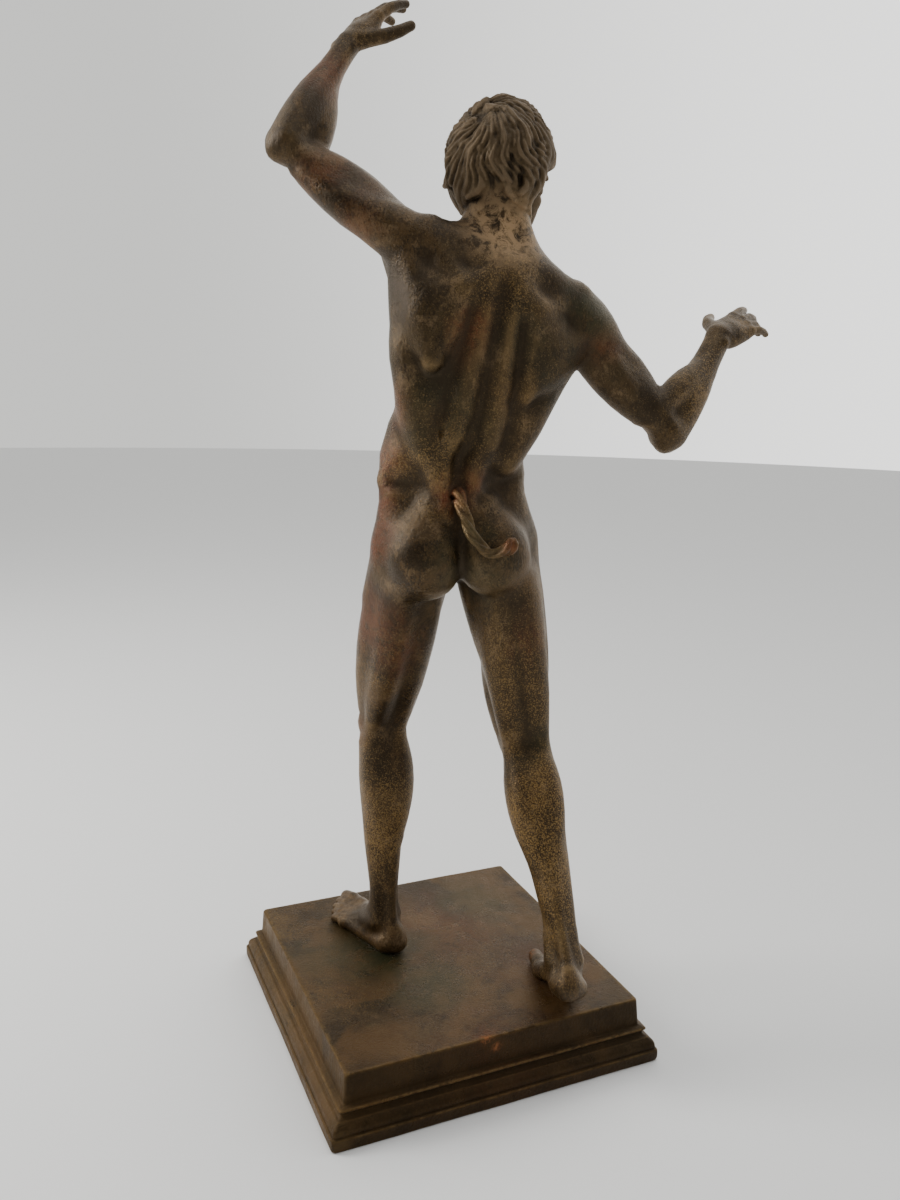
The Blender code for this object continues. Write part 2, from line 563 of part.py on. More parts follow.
def neck(f):
    C, H = CHEST, HEAD
    base, skull = C.at(0, -6, 104), H.at(0, -16, -26)
    f.spindle(base, skull, (34, 26, 28), 14)
    f.spindle(C.at(0, -26, 110), H.at(0, -30, -14), (22, 18, 21), 12)
    for k in (1, -1):
        f.spindle(H.at(10 * k, -32, -30), C.at(54 * k, -20, 113), (11, 12, 12), 22)
        f.spindle(H.at(30 * k, -14, -20), C.at(8 * k, 33, 105), (8, 7.5, 6), 8)
        f.spindle(H.at(13 * k, -34, -16), C.at(26 * k, -26, 120), (13, 12, 17), 12)
    f.ball((base + skull) / 2 + (C.front + H.front) * 13.5, (7, 7, 9), None, 7)


def face(f):
    H = HEAD
    f.ball(H.at(0, -8, 16), (43, 53, 48), H, 8)
    f.ball(H.at(0, 16, -12), (36, 31, 46), H, 9)
    f.ball(H.at(0, 23, 27), (35, 26, 27), H, 10)
    f.ball(H.at(0, 37, -52), (12, 10, 9), H, 9)
    f.spindle(H.at(0, 45, 11), H.at(0, 58, -17), (4.4, 3.8, 5.2), 5)
    f.ball(H.at(0, 57, -18), (5.2, 5.6, 4.6), H, 4)
    f.ball(H.at(0, 42, -34), (14, 11, 12), H, 9)
    for k in (1, -1):
        f.spindle(H.at(35 * k, 0, -26), H.at(9 * k, 35, -54), (9, 9, 9), 10)
        f.spindle(H.at(20 * k, 39, -9), H.at(37 * k, 14, -3), (8, 8, 7), 9)
        f.ball(H.at(19 * k, 32, -27), (12, 12, 16), H, 10)
        f.spindle(H.at(5 * k, 46, 13), H.at(28 * k, 36, 12), (4.6, 5.2, 4.6), 6)
        f.carve(H.at(17 * k, 51, 2.5), (9.5, 9, 7), H, 6)
        f.ball(H.at(16.6 * k, 37.6, 1), (8.3, 8.3, 8.3), H, 1.5)
        f.chain([H.at(8 * k, 43, 0), H.at(12 * k, 46.4, 4), H.at(18 * k, 46.8, 5.2), H.at(26 * k, 40, 0)],
                [1.3, 1.8, 1.8, 1.4], 2)
        f.chain([H.at(8 * k, 43, 0), H.at(13 * k, 45.4, -3.8), H.at(19 * k, 44.8, -4.4),
                 H.at(26 * k, 40, 0)],
                [1.2, 1.5, 1.5, 1.2], 2)
        f.ball(H.at(6.2 * k, 50, -19), (4.4, 5.4, 4.4), H, 3)
        f.carve(H.at(3.6 * k, 54, -23.8), (2.2, 3.6, 2.4), H, 2)
        ear(f, k)
        horn(f, k)
    f.spindle(H.at(0, 43, 10), H.at(0, 49, -17), (4.6, 6.2, 6.4), 3)
    f.chain([H.at(-12, 45, -34.6), H.at(-5, 52, -31.6), H.at(0, 52.6, -32.8), H.at(5, 52, -31.6),
             H.at(12, 45, -34.6)],
            [1.4, 2.7, 2.4, 2.7, 1.4], 3)
    f.chain([H.at(-11, 45, -36), H.at(-4, 51, -38), H.at(4, 51, -38), H.at(11, 45, -36)],
            [1.4, 3.1, 3.1, 1.4], 3)
    f.crease([H.at(-13, 45, -34.8), H.at(-5, 54, -35), H.at(5, 54, -35), H.at(13, 45, -34.8)], 1.6, 1.8)


def ear(f, k):
    """A pointed ear, hollowed in its middle."""
    H = HEAD
    face_out = unit(H.turn(k, 0.55, 0))
    f.spindle(H.at(41 * k, -6, -14), H.at(54 * k, -17, 20), (5, 10, 2), 3, flat=(face_out, 0.4))
    f.chain([H.at(42 * k, 0, -17), H.at(46 * k, -14, -14), H.at(54 * k, -21, 2), H.at(57 * k, -19, 22),
             H.at(50 * k, -7, 10), H.at(44 * k, 1, -2)], [4, 3, 2.6, 1.8, 2.4, 2.6], 2)
    f.carve(H.at(50 * k, -9, 2), (3.6, 5.5, 9), H, 3)


def horn(f, k):
    H = HEAD
    f.chain([H.at(20 * k, 30, 48), H.at(23 * k, 37, 58), H.at(25 * k, 39, 67), H.at(25 * k, 35, 75)],
            [7.5, 6.2, 4.6, 2.2], 2)


LOCKS = 96
STRANDS = 4


def scatter(i, salt):
    """A repeatable number from 0 to 1 that looks random."""
    wide = math.sin(i * 12.9898 + salt * 78.233) * 43758.5453
    return wide - math.floor(wide)


def lock(f, spine, normals, width, turn):
    """A lock of hair as a bundle of strands round its spine, drawn together at its tip."""
    last = len(spine) - 1
    for s in range(STRANDS):
        points, radii = [], []
        for n, (p, normal) in enumerate(zip(spine, normals)):
            t = n / last
            before, after = spine[max(n - 1, 0)], spine[min(n + 1, last)]
            across = unit(np.cross(normal, after - before))
            spread = width * (0.35 + 0.65 * math.sin(math.pi * min(1.0, 0.22 + 0.78 * t))) * (1 - t ** 5)
            angle = 2 * math.pi * s / STRANDS + turn * 1.3 * t
            sideways = across * 0.62 * math.cos(angle) + normal * 0.42 * math.sin(angle)
            points.append(p + sideways * spread)
            radii.append(0.25 * width + 0.42 * spread)
        radii[-1] = 0.22 * width
        f.chain(points, radii, 0.9)


def hair(f):
    """Hair combed out of a whorl at the back of the crown into thick locks with lifted, curled tips."""
    H = HEAD
    centre, radii = vec(0, -9, 17), vec(46, 56, 50.5)
    whorl = unit(vec(0.14, -0.80, 0.58))
    golden = math.pi * (3 - math.sqrt(5))
    f.ball(H.at(0, -11, 19), (46.5, 56, 51), H, 4)
    f.ball(H.at(0, -36, -12), (33, 24, 26), H, 6)
    for i in range(LOCKS):
        height = 1 - 2 * (i + 0.5) / LOCKS
        ring = math.sqrt(1 - height * height)
        d = vec(ring * math.cos(golden * i), ring * math.sin(golden * i), height)
        front, up, side = d[1], d[2], abs(d[0])
        # bare face, ears and throat
        if front > 0.34 and up < 0.52:
            continue
        if up < -0.75 or (front > -0.28 and up < 0.08 + 0.2 * max(0, front)):
            continue
        away = d - whorl * (d @ whorl)
        far = np.linalg.norm(away)
        # the whorl's own middle stays smooth
        if far < 0.12 and d @ whorl > 0:
            continue
        swirl = np.cross(whorl, away)
        comb = unit(away + 1e-6) + 0.9 * unit(swirl + 1e-6) * math.exp(-(far / 0.7) ** 2)
        comb = comb + vec(0, 0, -0.45 * (1 - max(0, up)))
        comb = unit(comb - d * (comb @ d))
        across = np.cross(d, comb)
        turn = 1 if scatter(i, 1) < 0.5 else -1
        nape = max(0.0, -front) * max(0.0, 0.30 - up)
        rim = max(0.0, 0.45 - up) * (0.4 + side)
        length = 0.46 + 0.26 * min(far, 1) + 0.24 * scatter(i, 2) + 0.75 * nape
        lift = 3 + 9 * scatter(i, 3) * min(1, far + 0.2) + 16 * nape + 11 * rim + 4 * max(0, front)
        sway = 0.08 + 0.10 * scatter(i, 4)
        width = (9.0 + 4.0 * scatter(i, 5)) * (0.72 + 0.28 * min(1, far / 0.6)) + 2.5 * rim
        start = min(0.3 * length, 0.8 * far)
        spine, normals = [], []
        for n in range(8):
            t = n / 7
            bend = sway * math.sin(0.5 + 5.0 * t) * (0.4 + t)
            hook = 0.36 * max(0.0, t - 0.58) ** 1.2 / 0.38
            along = length * t - start - 0.14 * max(0.0, t - 0.75)
            p = unit(d + comb * along + across * turn * (bend + hook) * min(1, far / 0.4))
            rise = 1.0 + (lift * t * t + 0.5) / 50
            spine.append(H.at(*(centre + p * radii * rise)))
            normals.append(unit(H.turn(*(p / radii))))
        lock(f, spine, normals, width, turn)
    # curls that fall over the brow in two rows
    for j in range(9):
        side = (j - 4) / 4
        upper = j % 2
        turn = 1 if scatter(j, 7) < 0.5 else -1
        across = 31 * side + 3 * (scatter(j, 8) - 0.5)
        drop = 36 + 10 * upper + 6 * scatter(j, 9) - 3 * abs(side)
        out = 47.5 - 12 * side * side + 1.5 * upper
        spine = [H.at(across * 0.6, 10, 66), H.at(across * 0.82, 28, 65),
                 H.at(across + 2 * turn, 41 - 7 * side**2, 58),
                 H.at(across + 5 * turn, out, drop + 10), H.at(across + 4 * turn, out + 2.5, drop + 2),
                 H.at(across - 1 * turn, out + 3.5, drop - 1), H.at(across - 4 * turn, out + 3, drop + 4)]
        face_out = unit(H.turn(0.5 * side, 1, 0.2))
        lock(f, spine, [H.turn(0, 0.2, 1), H.turn(0, 0.5, 0.8), unit(H.turn(0, 1, 0.6))] + [face_out] * 4,
             7.6, turn)


def vine_leaf(f):
    P = PELVIS
    heart = P.at(0, 50, -8)
    flat = (unit(P.turn(0, 1, 0.1)), 0.45)
    for angle, length, width in ((0, 34, 10), (50, 29, 10), (-50, 29, 10), (108, 22, 9), (-108, 22, 9)):
        a = math.radians(angle)
        way = P.turn(math.sin(a), 0.10, -math.cos(a))
        f.spindle(heart + way * 4, heart + way * length - P.front * 3, (9, width, 2.5), 2.5, flat=flat)
    for angle, length in ((0, 32), (50, 27), (-50, 27), (108, 20), (-108, 20)):
        a = math.radians(angle)
        way = P.turn(math.sin(a), 0, -math.cos(a))
        f.crease([heart + P.turn(0, 6, 6), heart + P.turn(0, 5, 0) + way * length], 1.6, 1.5)


def smooth_line(points, steps):
    """Points on a smooth curve through the given ones."""
    points = [np.asarray(p, float) for p in points]
    ends = [2 * points[0] - points[1]] + points + [2 * points[-1] - points[-2]]
    line = []
    for a, b, c, d in zip(ends, ends[1:], ends[2:], ends[3:]):
        for n in range(steps):
            t = n / steps
            line.append(0.5 * (2 * b + (c - a) * t + (2 * a - 5 * b + 4 * c - d) * t**2
                               + (3 * b - a - 3 * c + d) * t**3))
    line.append(points[-1])
    return line


def tail(f):
    """A short tail of twisted strands that drops from the loins and curls up to one side in a tuft."""
    P = PELVIS
    f.ball(P.at(0, -45, 66), (11, 9, 12), P, 9)
    spine = smooth_line([P.at(0, -46, 70), P.at(-1, -61, 61), P.at(-5, -72, 40), P.at(-13, -80, 18),
                         P.at(-27, -87, 4), P.at(-43, -91, 6), P.at(-53, -92, 17)], 4)
    last = len(spine) - 1
    for s in range(3):
        points, radii = [], []
        for n, p in enumerate(spine):
            t = n / last
            way = unit(spine[min(n + 1, last)] - spine[max(n - 1, 0)])
            across = unit(np.cross(way, P.up))
            upright = np.cross(across, way)
            tuft = math.exp(-((t - 0.90) / 0.09) ** 2)
            spread = 3.4 - 1.5 * t + 2.6 * tuft
            angle = 2 * math.pi * s / 3 + 7.5 * t
            sideways = across * math.cos(angle) + upright * math.sin(angle)
            points.append(p + sideways * spread * (1 if n < last else 0.3))
            radii.append(5.4 - 2.2 * t + 1.2 * tuft if n < last else 2.0)
        f.chain(points, radii, 1.2)


def figure():
    f = Shapes()
    torso(f)
    for name in SIDES:
        leg(f, name)
        arm(f, name)
    neck(f)
    face(f)
    hair(f)
    vine_leaf(f)
    # the cleft between the buttocks
    P = PELVIS
    f.crease([P.at(0, -64, 40), P.at(0, -72, 5), P.at(0, -58, -40)], 6, 13)
    for k in (1, -1):
        f.crease([P.at(10 * k, -54, -46), P.at(32 * k, -62, -51), P.at(52 * k, -54, -46)], 6, 3)
        f.crease([P.at(78 * k, -26, 14), P.at(76 * k, -30, -14)], 15, 4)
    tail(f)
    f.cut_below(SOLE_LEVEL)
    return f


def arc(start, end, bulge, steps):
    """Points from start to end. bulge above 0 swells outwards, below 0 hollows."""
    points = []
    for n in range(steps + 1):
        t = n / steps
        swell = bulge * math.sin(math.pi * t)
        points.append((start[0] + (end[0] - start[0]) * t, start[1] + (end[1] - start[1]) * t + swell))
    return points


def plinth_profile():
    """Height and half width of the plinth's outline, from its underside up."""
    base = PLINTH_BASE_SIDE / 2
    top = PLINTH_TOP_SIDE / 2
    slab_foot = top + SLAB_DRAFT
    shelf = base - slab_foot
    plate = PLATE_HEIGHT
    neck = PLATE_HEIGHT + MOULDING_HEIGHT
    points = [(0.0, base - EDGE_ROUND), (EDGE_ROUND, base)]
    points += [(plate - EDGE_ROUND, base), (plate, base - EDGE_ROUND)]
    # a swelling ogee, a hollow and a thin bead under the slab
    swell_top = plate + MOULDING_HEIGHT * 0.52
    hollow_top = plate + MOULDING_HEIGHT * 0.84
    points += arc((plate + 0.0002, base - shelf * 0.14), (swell_top, base - shelf * 0.52), shelf * 0.10, 6)
    points += arc((swell_top + 0.0003, base - shelf * 0.58), (hollow_top, base - shelf * 0.66),
                  -shelf * 0.09, 5)
    points += arc((hollow_top + 0.0003, base - shelf * 0.66), (neck, base - shelf * 0.86), shelf * 0.08, 4)
    points += [(neck + 0.0003, slab_foot)]
    points += [(PLINTH_HEIGHT - EDGE_ROUND, top), (PLINTH_HEIGHT, top - EDGE_ROUND)]
    return points


def plinth_outline(name):
    """The plinth's outline as an open line at a corner, from the middle of its top to its underside."""
    corner = math.sqrt(2)
    outline = [(half * corner, 0.0, height) for height, half in reversed(plinth_profile())]
    points = [(0.0, 0.0, PLINTH_HEIGHT)] + outline + [(0.0, 0.0, 0.0)]
    mesh = bpy.data.meshes.new(name)
    mesh.from_pydata(points, [(n, n + 1) for n in range(len(points) - 1)], [])
    return mesh


def figure_mesh(name, step):
    """The figure's surface at one step in thousandths of its height, set down on the plinth."""
    points, quads = one_skin(*grid_of(figure(), step).convertToQuads(isovalue=0.0))
    points = points.astype(np.float64) * (FIGURE_HEIGHT / 1000)
    points[:, 2] += PLINTH_HEIGHT + SEAT_GAP - SOLE_LEVEL * FIGURE_HEIGHT / 1000
    mesh = bpy.data.meshes.new(name)
    mesh.from_pydata(points.tolist(), [], quads.tolist())
    mesh.update()
    return mesh


def detail_weights(thing):
    """Keeps more facets on the head, hands and feet."""
    group = thing.vertex_groups.new(name="detail")
    spots = [(HEAD.at(0, 0, 10), 100, 0.3)]
    spots += [(WRIST[name] + HAND_RUN[name] * 45, 62, 0.5) for name in SIDES]
    spots += [(ANKLE[name] - vec(0, 50, 25), 75, 0.3) for name in SIDES]
    points = np.array([v.co[:] for v in thing.data.vertices])
    points[:, 2] -= PLINTH_HEIGHT + SEAT_GAP - SOLE_LEVEL * FIGURE_HEIGHT / 1000
    points *= 1000 / FIGURE_HEIGHT
    weights = np.zeros(len(points))
    for centre, reach, weight in spots:
        near = np.linalg.norm(points - centre, axis=1) < reach
        weights[near] = np.maximum(weights[near], weight)
    for value in np.unique(weights):
        group.add(np.nonzero(weights == value)[0].tolist(), float(value), "REPLACE")


def bronze(name, colour):
    material = bpy.data.materials.new(name)
    material.use_nodes = True
    shader = material.node_tree.nodes["Principled BSDF"]
    shader.inputs["Base Color"].default_value = colour
    shader.inputs["Metallic"].default_value = 0.6
    shader.inputs["Roughness"].default_value = 0.45
    return material


def place(name, mesh, material):
    thing = bpy.data.objects.new(name, mesh)
    mesh.materials.append(material)
    parts.objects.link(thing)
    return thing


parts = bpy.data.collections.new("faun_statue")
bpy.context.scene.collection.children.link(parts)

# The outline turned in four steps makes the square plinth with mitred corners
plinth = place("plinth", plinth_outline("plinth"), bronze("plinth_bronze", (0.075, 0.050, 0.032, 1)))
plinth.rotation_euler[2] = math.radians(45)
turn = plinth.modifiers.new("four_sides", "SCREW")
turn.steps = 4
turn.render_steps = 4
turn.use_merge_vertices = True
turn.merge_threshold = 0.00005
turn.use_smooth_shade = False

figure_metal = bronze("figure_bronze", (0.085, 0.058, 0.038, 1))
statue = place("faun_figure", figure_mesh("faun_figure", FACET_STEP), figure_metal)
statue.data.shade_smooth()
detail_weights(statue)
thin = statue.modifiers.new("facets", "DECIMATE")
thin.decimate_type = "COLLAPSE"
thin.use_collapse_triangulate = True
thin.vertex_group = "detail"
thin.invert_vertex_group = True
thin.vertex_group_factor = 0.01
thin.ratio = FIGURE_TRIANGLES / (2 * len(statue.data.polygons))
settled = statue.evaluated_get(bpy.context.evaluated_depsgraph_get())
facets = bpy.data.meshes.new_from_object(settled)
statue.modifiers.clear()
statue.vertex_groups.clear()
statue.data = facets

# No facet of the soles reaches under the seat
for vertex in facets.vertices:
    vertex.co.z = max(vertex.co.z, PLINTH_HEIGHT + SEAT_GAP)
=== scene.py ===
"""Looks of the faun statue: fine surfaces, bronze patina, floor, light and camera.

The figure is laid out in thousandths of its standing height. It faces -Y, and the camera stands
behind it, as in the photograph.
"""
import itertools
import json
import math

import bpy
import numpy as np
import openvdb
from mathutils import Matrix

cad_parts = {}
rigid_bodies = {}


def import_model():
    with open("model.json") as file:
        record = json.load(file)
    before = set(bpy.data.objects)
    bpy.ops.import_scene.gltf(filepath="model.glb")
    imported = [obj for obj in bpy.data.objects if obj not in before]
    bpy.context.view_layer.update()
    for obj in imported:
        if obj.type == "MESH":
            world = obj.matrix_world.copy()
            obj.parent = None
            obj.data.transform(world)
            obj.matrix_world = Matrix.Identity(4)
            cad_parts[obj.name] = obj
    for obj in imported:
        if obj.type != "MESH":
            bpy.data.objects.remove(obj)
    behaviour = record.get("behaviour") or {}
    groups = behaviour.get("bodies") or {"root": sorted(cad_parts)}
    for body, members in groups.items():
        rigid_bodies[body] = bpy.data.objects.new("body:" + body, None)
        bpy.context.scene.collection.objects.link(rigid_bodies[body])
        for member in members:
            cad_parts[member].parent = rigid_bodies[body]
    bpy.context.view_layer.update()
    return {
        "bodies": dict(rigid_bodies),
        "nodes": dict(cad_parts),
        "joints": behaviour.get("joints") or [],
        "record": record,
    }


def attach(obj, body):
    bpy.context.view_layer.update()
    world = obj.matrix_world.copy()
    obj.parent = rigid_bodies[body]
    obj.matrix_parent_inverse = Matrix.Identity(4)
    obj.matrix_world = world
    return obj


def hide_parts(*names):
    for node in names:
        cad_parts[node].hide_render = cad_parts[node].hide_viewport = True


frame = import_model()

# Sizes shared with the solids, in metres
PLINTH_TOP_SIDE = 0.240
PLINTH_BASE_SIDE = 0.267
PLATE_HEIGHT = 0.0097
MOULDING_HEIGHT = 0.0170
SLAB_HEIGHT = 0.0219
SLAB_DRAFT = 0.0015
FIGURE_HEIGHT = 0.660
SEAT_GAP = 0.0003
SOLE_LEVEL = 1.2
PLINTH_HEIGHT = PLATE_HEIGHT + MOULDING_HEIGHT + SLAB_HEIGHT

# One of the figure's units, and the height of its zero level
UNIT = FIGURE_HEIGHT / 1000
UNITS_START = PLINTH_HEIGHT + SEAT_GAP - SOLE_LEVEL * FIGURE_HEIGHT / 1000

# Fine surface of the figure, with its steps in the figure's units
FINE_STEP = 1.5
FINE_TRIANGLES = 192000
SHARE_STEP = 3.0

# Edges and wear of the plinth
CORNER_RADIUS = 0.0022
EDGE_ROUND = 0.0013
SIDE_POINTS = 64
BEND_REACH = 0.0014
SIDE_FADE = 0.0015


def vec(*values):
    return np.array(values, float)


def unit(v):
    return v / np.linalg.norm(v)


class Frame:
    """Axes of a stiff part of the body: side points to its left, front forwards, up along it."""

    def __init__(self, origin, side, front, up):
        self.origin, self.side, self.front, self.up = origin, side, front, up

    def at(self, side, front, up):
        return self.origin + side * self.side + front * self.front + up * self.up

    def turn(self, side, front, up):
        return side * self.side + front * self.front + up * self.up


def stiff(origin, yaw, roll, pitch):
    """yaw turns the front towards +X, roll lifts the left side, pitch leans forwards, in degrees."""
    yaw, roll, pitch = (math.radians(a) for a in (yaw, roll, pitch))
    side = vec(math.cos(yaw), math.sin(yaw), 0)
    front = vec(math.sin(yaw), -math.cos(yaw), 0)
    up = vec(0, 0, 1)
    side, up = side * math.cos(roll) + up * math.sin(roll), up * math.cos(roll) - side * math.sin(roll)
    nod, tip = math.cos(pitch), math.sin(pitch)
    up, front = up * nod + front * tip, front * nod - up * tip
    return Frame(origin, side, front, up)


def mirrored(frame, k):
    """Places points in a frame, on its left side where k is 1 and on its right side where k is -1."""
    return lambda side, front, up: frame.at(side * k, front, up)


class Bone:
    """Axes of a limb's stretch from joint a to joint b. out points away from the body's middle."""

    def __init__(self, a, b, front, out):
        self.a, self.b = a, b
        self.axis = unit(b - a)
        self.front = unit(front - self.axis * (front @ self.axis))
        side = np.cross(self.axis, self.front)
        self.side = side if side @ out > 0 else -side

    def at(self, share, side, front):
        return self.a + (self.b - self.a) * share + self.side * side + self.front * front


def middle_joint(a, c, first, second, pole):
    """The knee or elbow between a and c, on the side that pole points to."""
    span = c - a
    reach = np.linalg.norm(span)
    reach_limit = (first + second) * 0.999
    reach = min(reach, reach_limit)
    along = (first**2 - second**2 + reach**2) / (2 * reach)
    off = math.sqrt(max(first**2 - along**2, 0))
    axis = unit(span)
    return a + axis * along + unit(pole - axis * (pole @ axis)) * off


# Signed distance field of the body

# field value away from every shape, a reach beyond the whole body, and the kinds that add material
FAR_OUT = 45.0
EVERYWHERE = 9e3
ADDED = ("spindle", "ball", "chain")


class Shapes:
    """Shapes that melt into each other, kept in the order they are added."""

    def __init__(self):
        self.ops = []

    def spindle(self, a, b, radii, blend=8, bow=None, flat=None):
        """A muscle from a to b. radii are at its start, middle and end; flat is (direction, share)."""
        bow = np.zeros(3) if bow is None else bow
        reach = max(radii) + blend + 2 + np.abs(bow).max()
        low, high = np.minimum(a, b) - reach, np.maximum(a, b) + reach
        self.ops.append(("spindle", low, high, (a, b, radii, bow, flat), blend))

    def muscles(self, at, rows):
        """Spindles with their ends placed by at. A row is start, end, radii, blend and maybe a bow."""
        for start, end, *rest in rows:
            self.spindle(at(*start), at(*end), *rest)

    def ball(self, centre, radii, frame=None, blend=8, kind="ball"):
        """An ellipsoid whose radii run along the frame's side, front and up."""
        axes = np.eye(3) if frame is None else np.array([frame.side, frame.front, frame.up])
        reach = max(radii) + blend + 2
        self.ops.append((kind, centre - reach, centre + reach, (centre, axes, vec(*radii)), blend))

    def chain(self, points, radii, blend=3, flat=None):
        """A rope through the points, such as a finger or a lock of hair."""
        points = [np.asarray(p, float) for p in points]
        reach = max(radii) + blend + 2
        low, high = np.min(points, 0) - reach, np.max(points, 0) + reach
        self.ops.append(("chain", low, high, (points, radii, flat), blend))

    def crease(self, points, width, depth):
        """Sinks the surface by depth along a line, or raises it where depth is below 0."""
        points = [np.asarray(p, float) for p in points]
        reach = width * 2.6
        low, high = np.min(points, 0) - reach, np.max(points, 0) + reach
        self.ops.append(("crease", low, high, (points, width, depth), 0))

    def carve(self, centre, radii, frame, blend):
        """An ellipsoid taken away."""
        self.ball(centre, radii, frame, blend, "carve")

    def relief(self, low, high, function):
        """Adds function(x, y, z) to the field in a box."""
        self.ops.append(("relief", low, high, function, 0))

    def cut_below(self, height, blend=1.0):
        self.ops.append(("floor", np.full(3, -EVERYWHERE), np.full(3, EVERYWHERE), height, blend))


def line_offset(x, y, z, a, b):
    """Where each point lies along the line from a to b, from 0 to 1, and how far off it on each axis."""
    ab, a = (b - a).astype(np.float32), a.astype(np.float32)
    t = ((x - a[0]) * ab[0] + (y - a[1]) * ab[1] + (z - a[2]) * ab[2]) / np.float32(max(ab @ ab, 1e-9))
    t = np.clip(t, 0, 1)
    return t, [place - a[n] - t * ab[n] for n, place in enumerate((x, y, z))]


def length_of(offset, flat):
    """Length of the offsets, stretched along flat's direction so that the shape is flatter that way."""
    if flat is not None:
        n, share = flat[0].astype(np.float32), np.float32(1 / flat[1] - 1)
        along = (offset[0] * n[0] + offset[1] * n[1] + offset[2] * n[2]) * share
        offset = [q + n[i] * along for i, q in enumerate(offset)]
    return np.sqrt(offset[0] * offset[0] + offset[1] * offset[1] + offset[2] * offset[2])


def rope_distance(x, y, z, points, radii, flat=None):
    nearest = None
    for a, b, ra, rb in zip(points, points[1:], radii, radii[1:]):
        t, offset = line_offset(x, y, z, a, b)
        distance = length_of(offset, flat) - (ra + t * np.float32(rb - ra))
        nearest = distance if nearest is None else np.minimum(nearest, distance)
    return nearest


def evaluate(kind, data, x, y, z):
    """Signed distance to a shape, or the height that a crease adds."""
    if kind == "spindle":
        a, b, (r0, r1, r2), bow, flat = data
        t, offset = line_offset(x, y, z, a, b)
        hump = 4 * t * (1 - t)
        offset = [q - hump * np.float32(bow[n]) for n, q in enumerate(offset)]
        radius = r0 + t * np.float32(r2 - r0) + hump * np.float32(r1 - (r0 + r2) / 2)
        return length_of(offset, flat) - radius
    if kind == "chain":
        return rope_distance(x, y, z, *data)
    if kind == "crease":
        points, width, depth = data
        far = rope_distance(x, y, z, points, [0] * len(points))
        return np.float32(depth) * np.exp(-((far / np.float32(width)) ** 2))
    centre, axes, radii = data
    centre = centre.astype(np.float32)
    px, py, pz = x - centre[0], y - centre[1], z - centre[2]
    k0 = k1 = 0
    for row, r in zip((axes / radii[:, None]).astype(np.float32), radii):
        u = px * row[0] + py * row[1] + pz * row[2]
        k0 = k0 + u * u
        k1 = k1 + (u / np.float32(r)) ** 2
    k0, k1 = np.sqrt(k0), np.sqrt(k1)
    return k0 * (k0 - 1) / np.maximum(k1, 1e-6)


def soft_min(a, b, k):
    h = np.maximum(k - np.abs(a - b), 0) / k
    return np.minimum(a, b) - h * h * (k / 4)


def grid_of(shapes, step, tile=48):
    """An openvdb level set of the shapes, filled tile by tile."""
    joins = [o for o in shapes.ops if o[0] in ADDED]
    low = np.min([o[1] for o in joins], 0)
    high = np.max([o[2] for o in joins], 0)
    first = np.floor(low / step).astype(int).tolist()
    last = np.ceil(high / step).astype(int).tolist()
    band = np.float32(step * 3)
    grid = openvdb.FloatGrid(float(band))
    grid.transform = openvdb.createLinearTransform(voxelSize=float(step))
    for corner in itertools.product(*(range(first[n], last[n], tile) for n in range(3))):
        low, high = np.array(corner) * step, (np.array(corner) + tile) * step
        near = [o for o in shapes.ops if (o[1] < high).all() and (o[2] > low).all()]
        if not any(o[0] in ADDED for o in near):
            continue
        values = np.full((tile,) * 3, FAR_OUT, np.float32)
        axes = [(corner[n] + np.arange(tile)).astype(np.float32) * np.float32(step) for n in range(3)]
        for kind, box_low, box_high, data, blend in near:
            ends = [np.searchsorted(axes[n], (box_low[n], box_high[n])) for n in range(3)]
            box = tuple(slice(*np.clip(pair, 0, tile)) for pair in ends)
            if any(side.stop <= side.start for side in box):
                continue
            part = values[box]
            place = np.ix_(*(axes[n][box[n]] for n in range(3)))
            blend = np.float32(blend)
            if kind == "relief":
                part += data(*place)
            elif kind == "crease":
                part += evaluate(kind, data, *place)
            elif kind == "carve":
                part[...] = -soft_min(-part, evaluate(kind, data, *place), blend)
            elif kind == "floor":
                part[...] = -soft_min(-part, place[2] - np.float32(data) + 0 * part, blend)
            else:
                part[...] = soft_min(part, evaluate(kind, data, *place), blend)
        values = np.clip(values, -band, band)
        if values.min() < band:
            grid.copyFromArray(values, ijk=corner, tolerance=0.0)
    return grid


def one_skin(points, quads):
    """Only the largest connected surface, without the sealed pockets between locks of hair."""
    label = np.arange(len(points))
    ends = np.vstack([quads[:, (0, 1)], quads[:, (1, 2)], quads[:, (2, 3)]])
    while True:
        low = np.minimum(label[ends[:, 0]], label[ends[:, 1]])
        after = label.copy()
        np.minimum.at(after, label[ends[:, 0]], low)
        np.minimum.at(after, label[ends[:, 1]], low)
        while (after[after] != after).any():
            after = after[after]
        if (after == label).all():
            break
        label = after
    biggest = np.bincount(label).argmax()
    keep = label == biggest
    number = np.cumsum(keep) - 1
    return points[keep], number[quads[keep[quads[:, 0]]]]


# The body, in thousandths of the standing height

THIGH, SHANK, UPPER_ARM, FOREARM = 245, 246, 178, 148

PELVIS = stiff(vec(0, 20, 522), yaw=-16, roll=-4, pitch=4)
CHEST = stiff(vec(-14, 24, 714), yaw=-10, roll=9, pitch=-5)
HEAD = stiff(vec(-50, 8, 930), yaw=-38, roll=-4, pitch=6)
SIDES = {"left": 1, "right": -1}

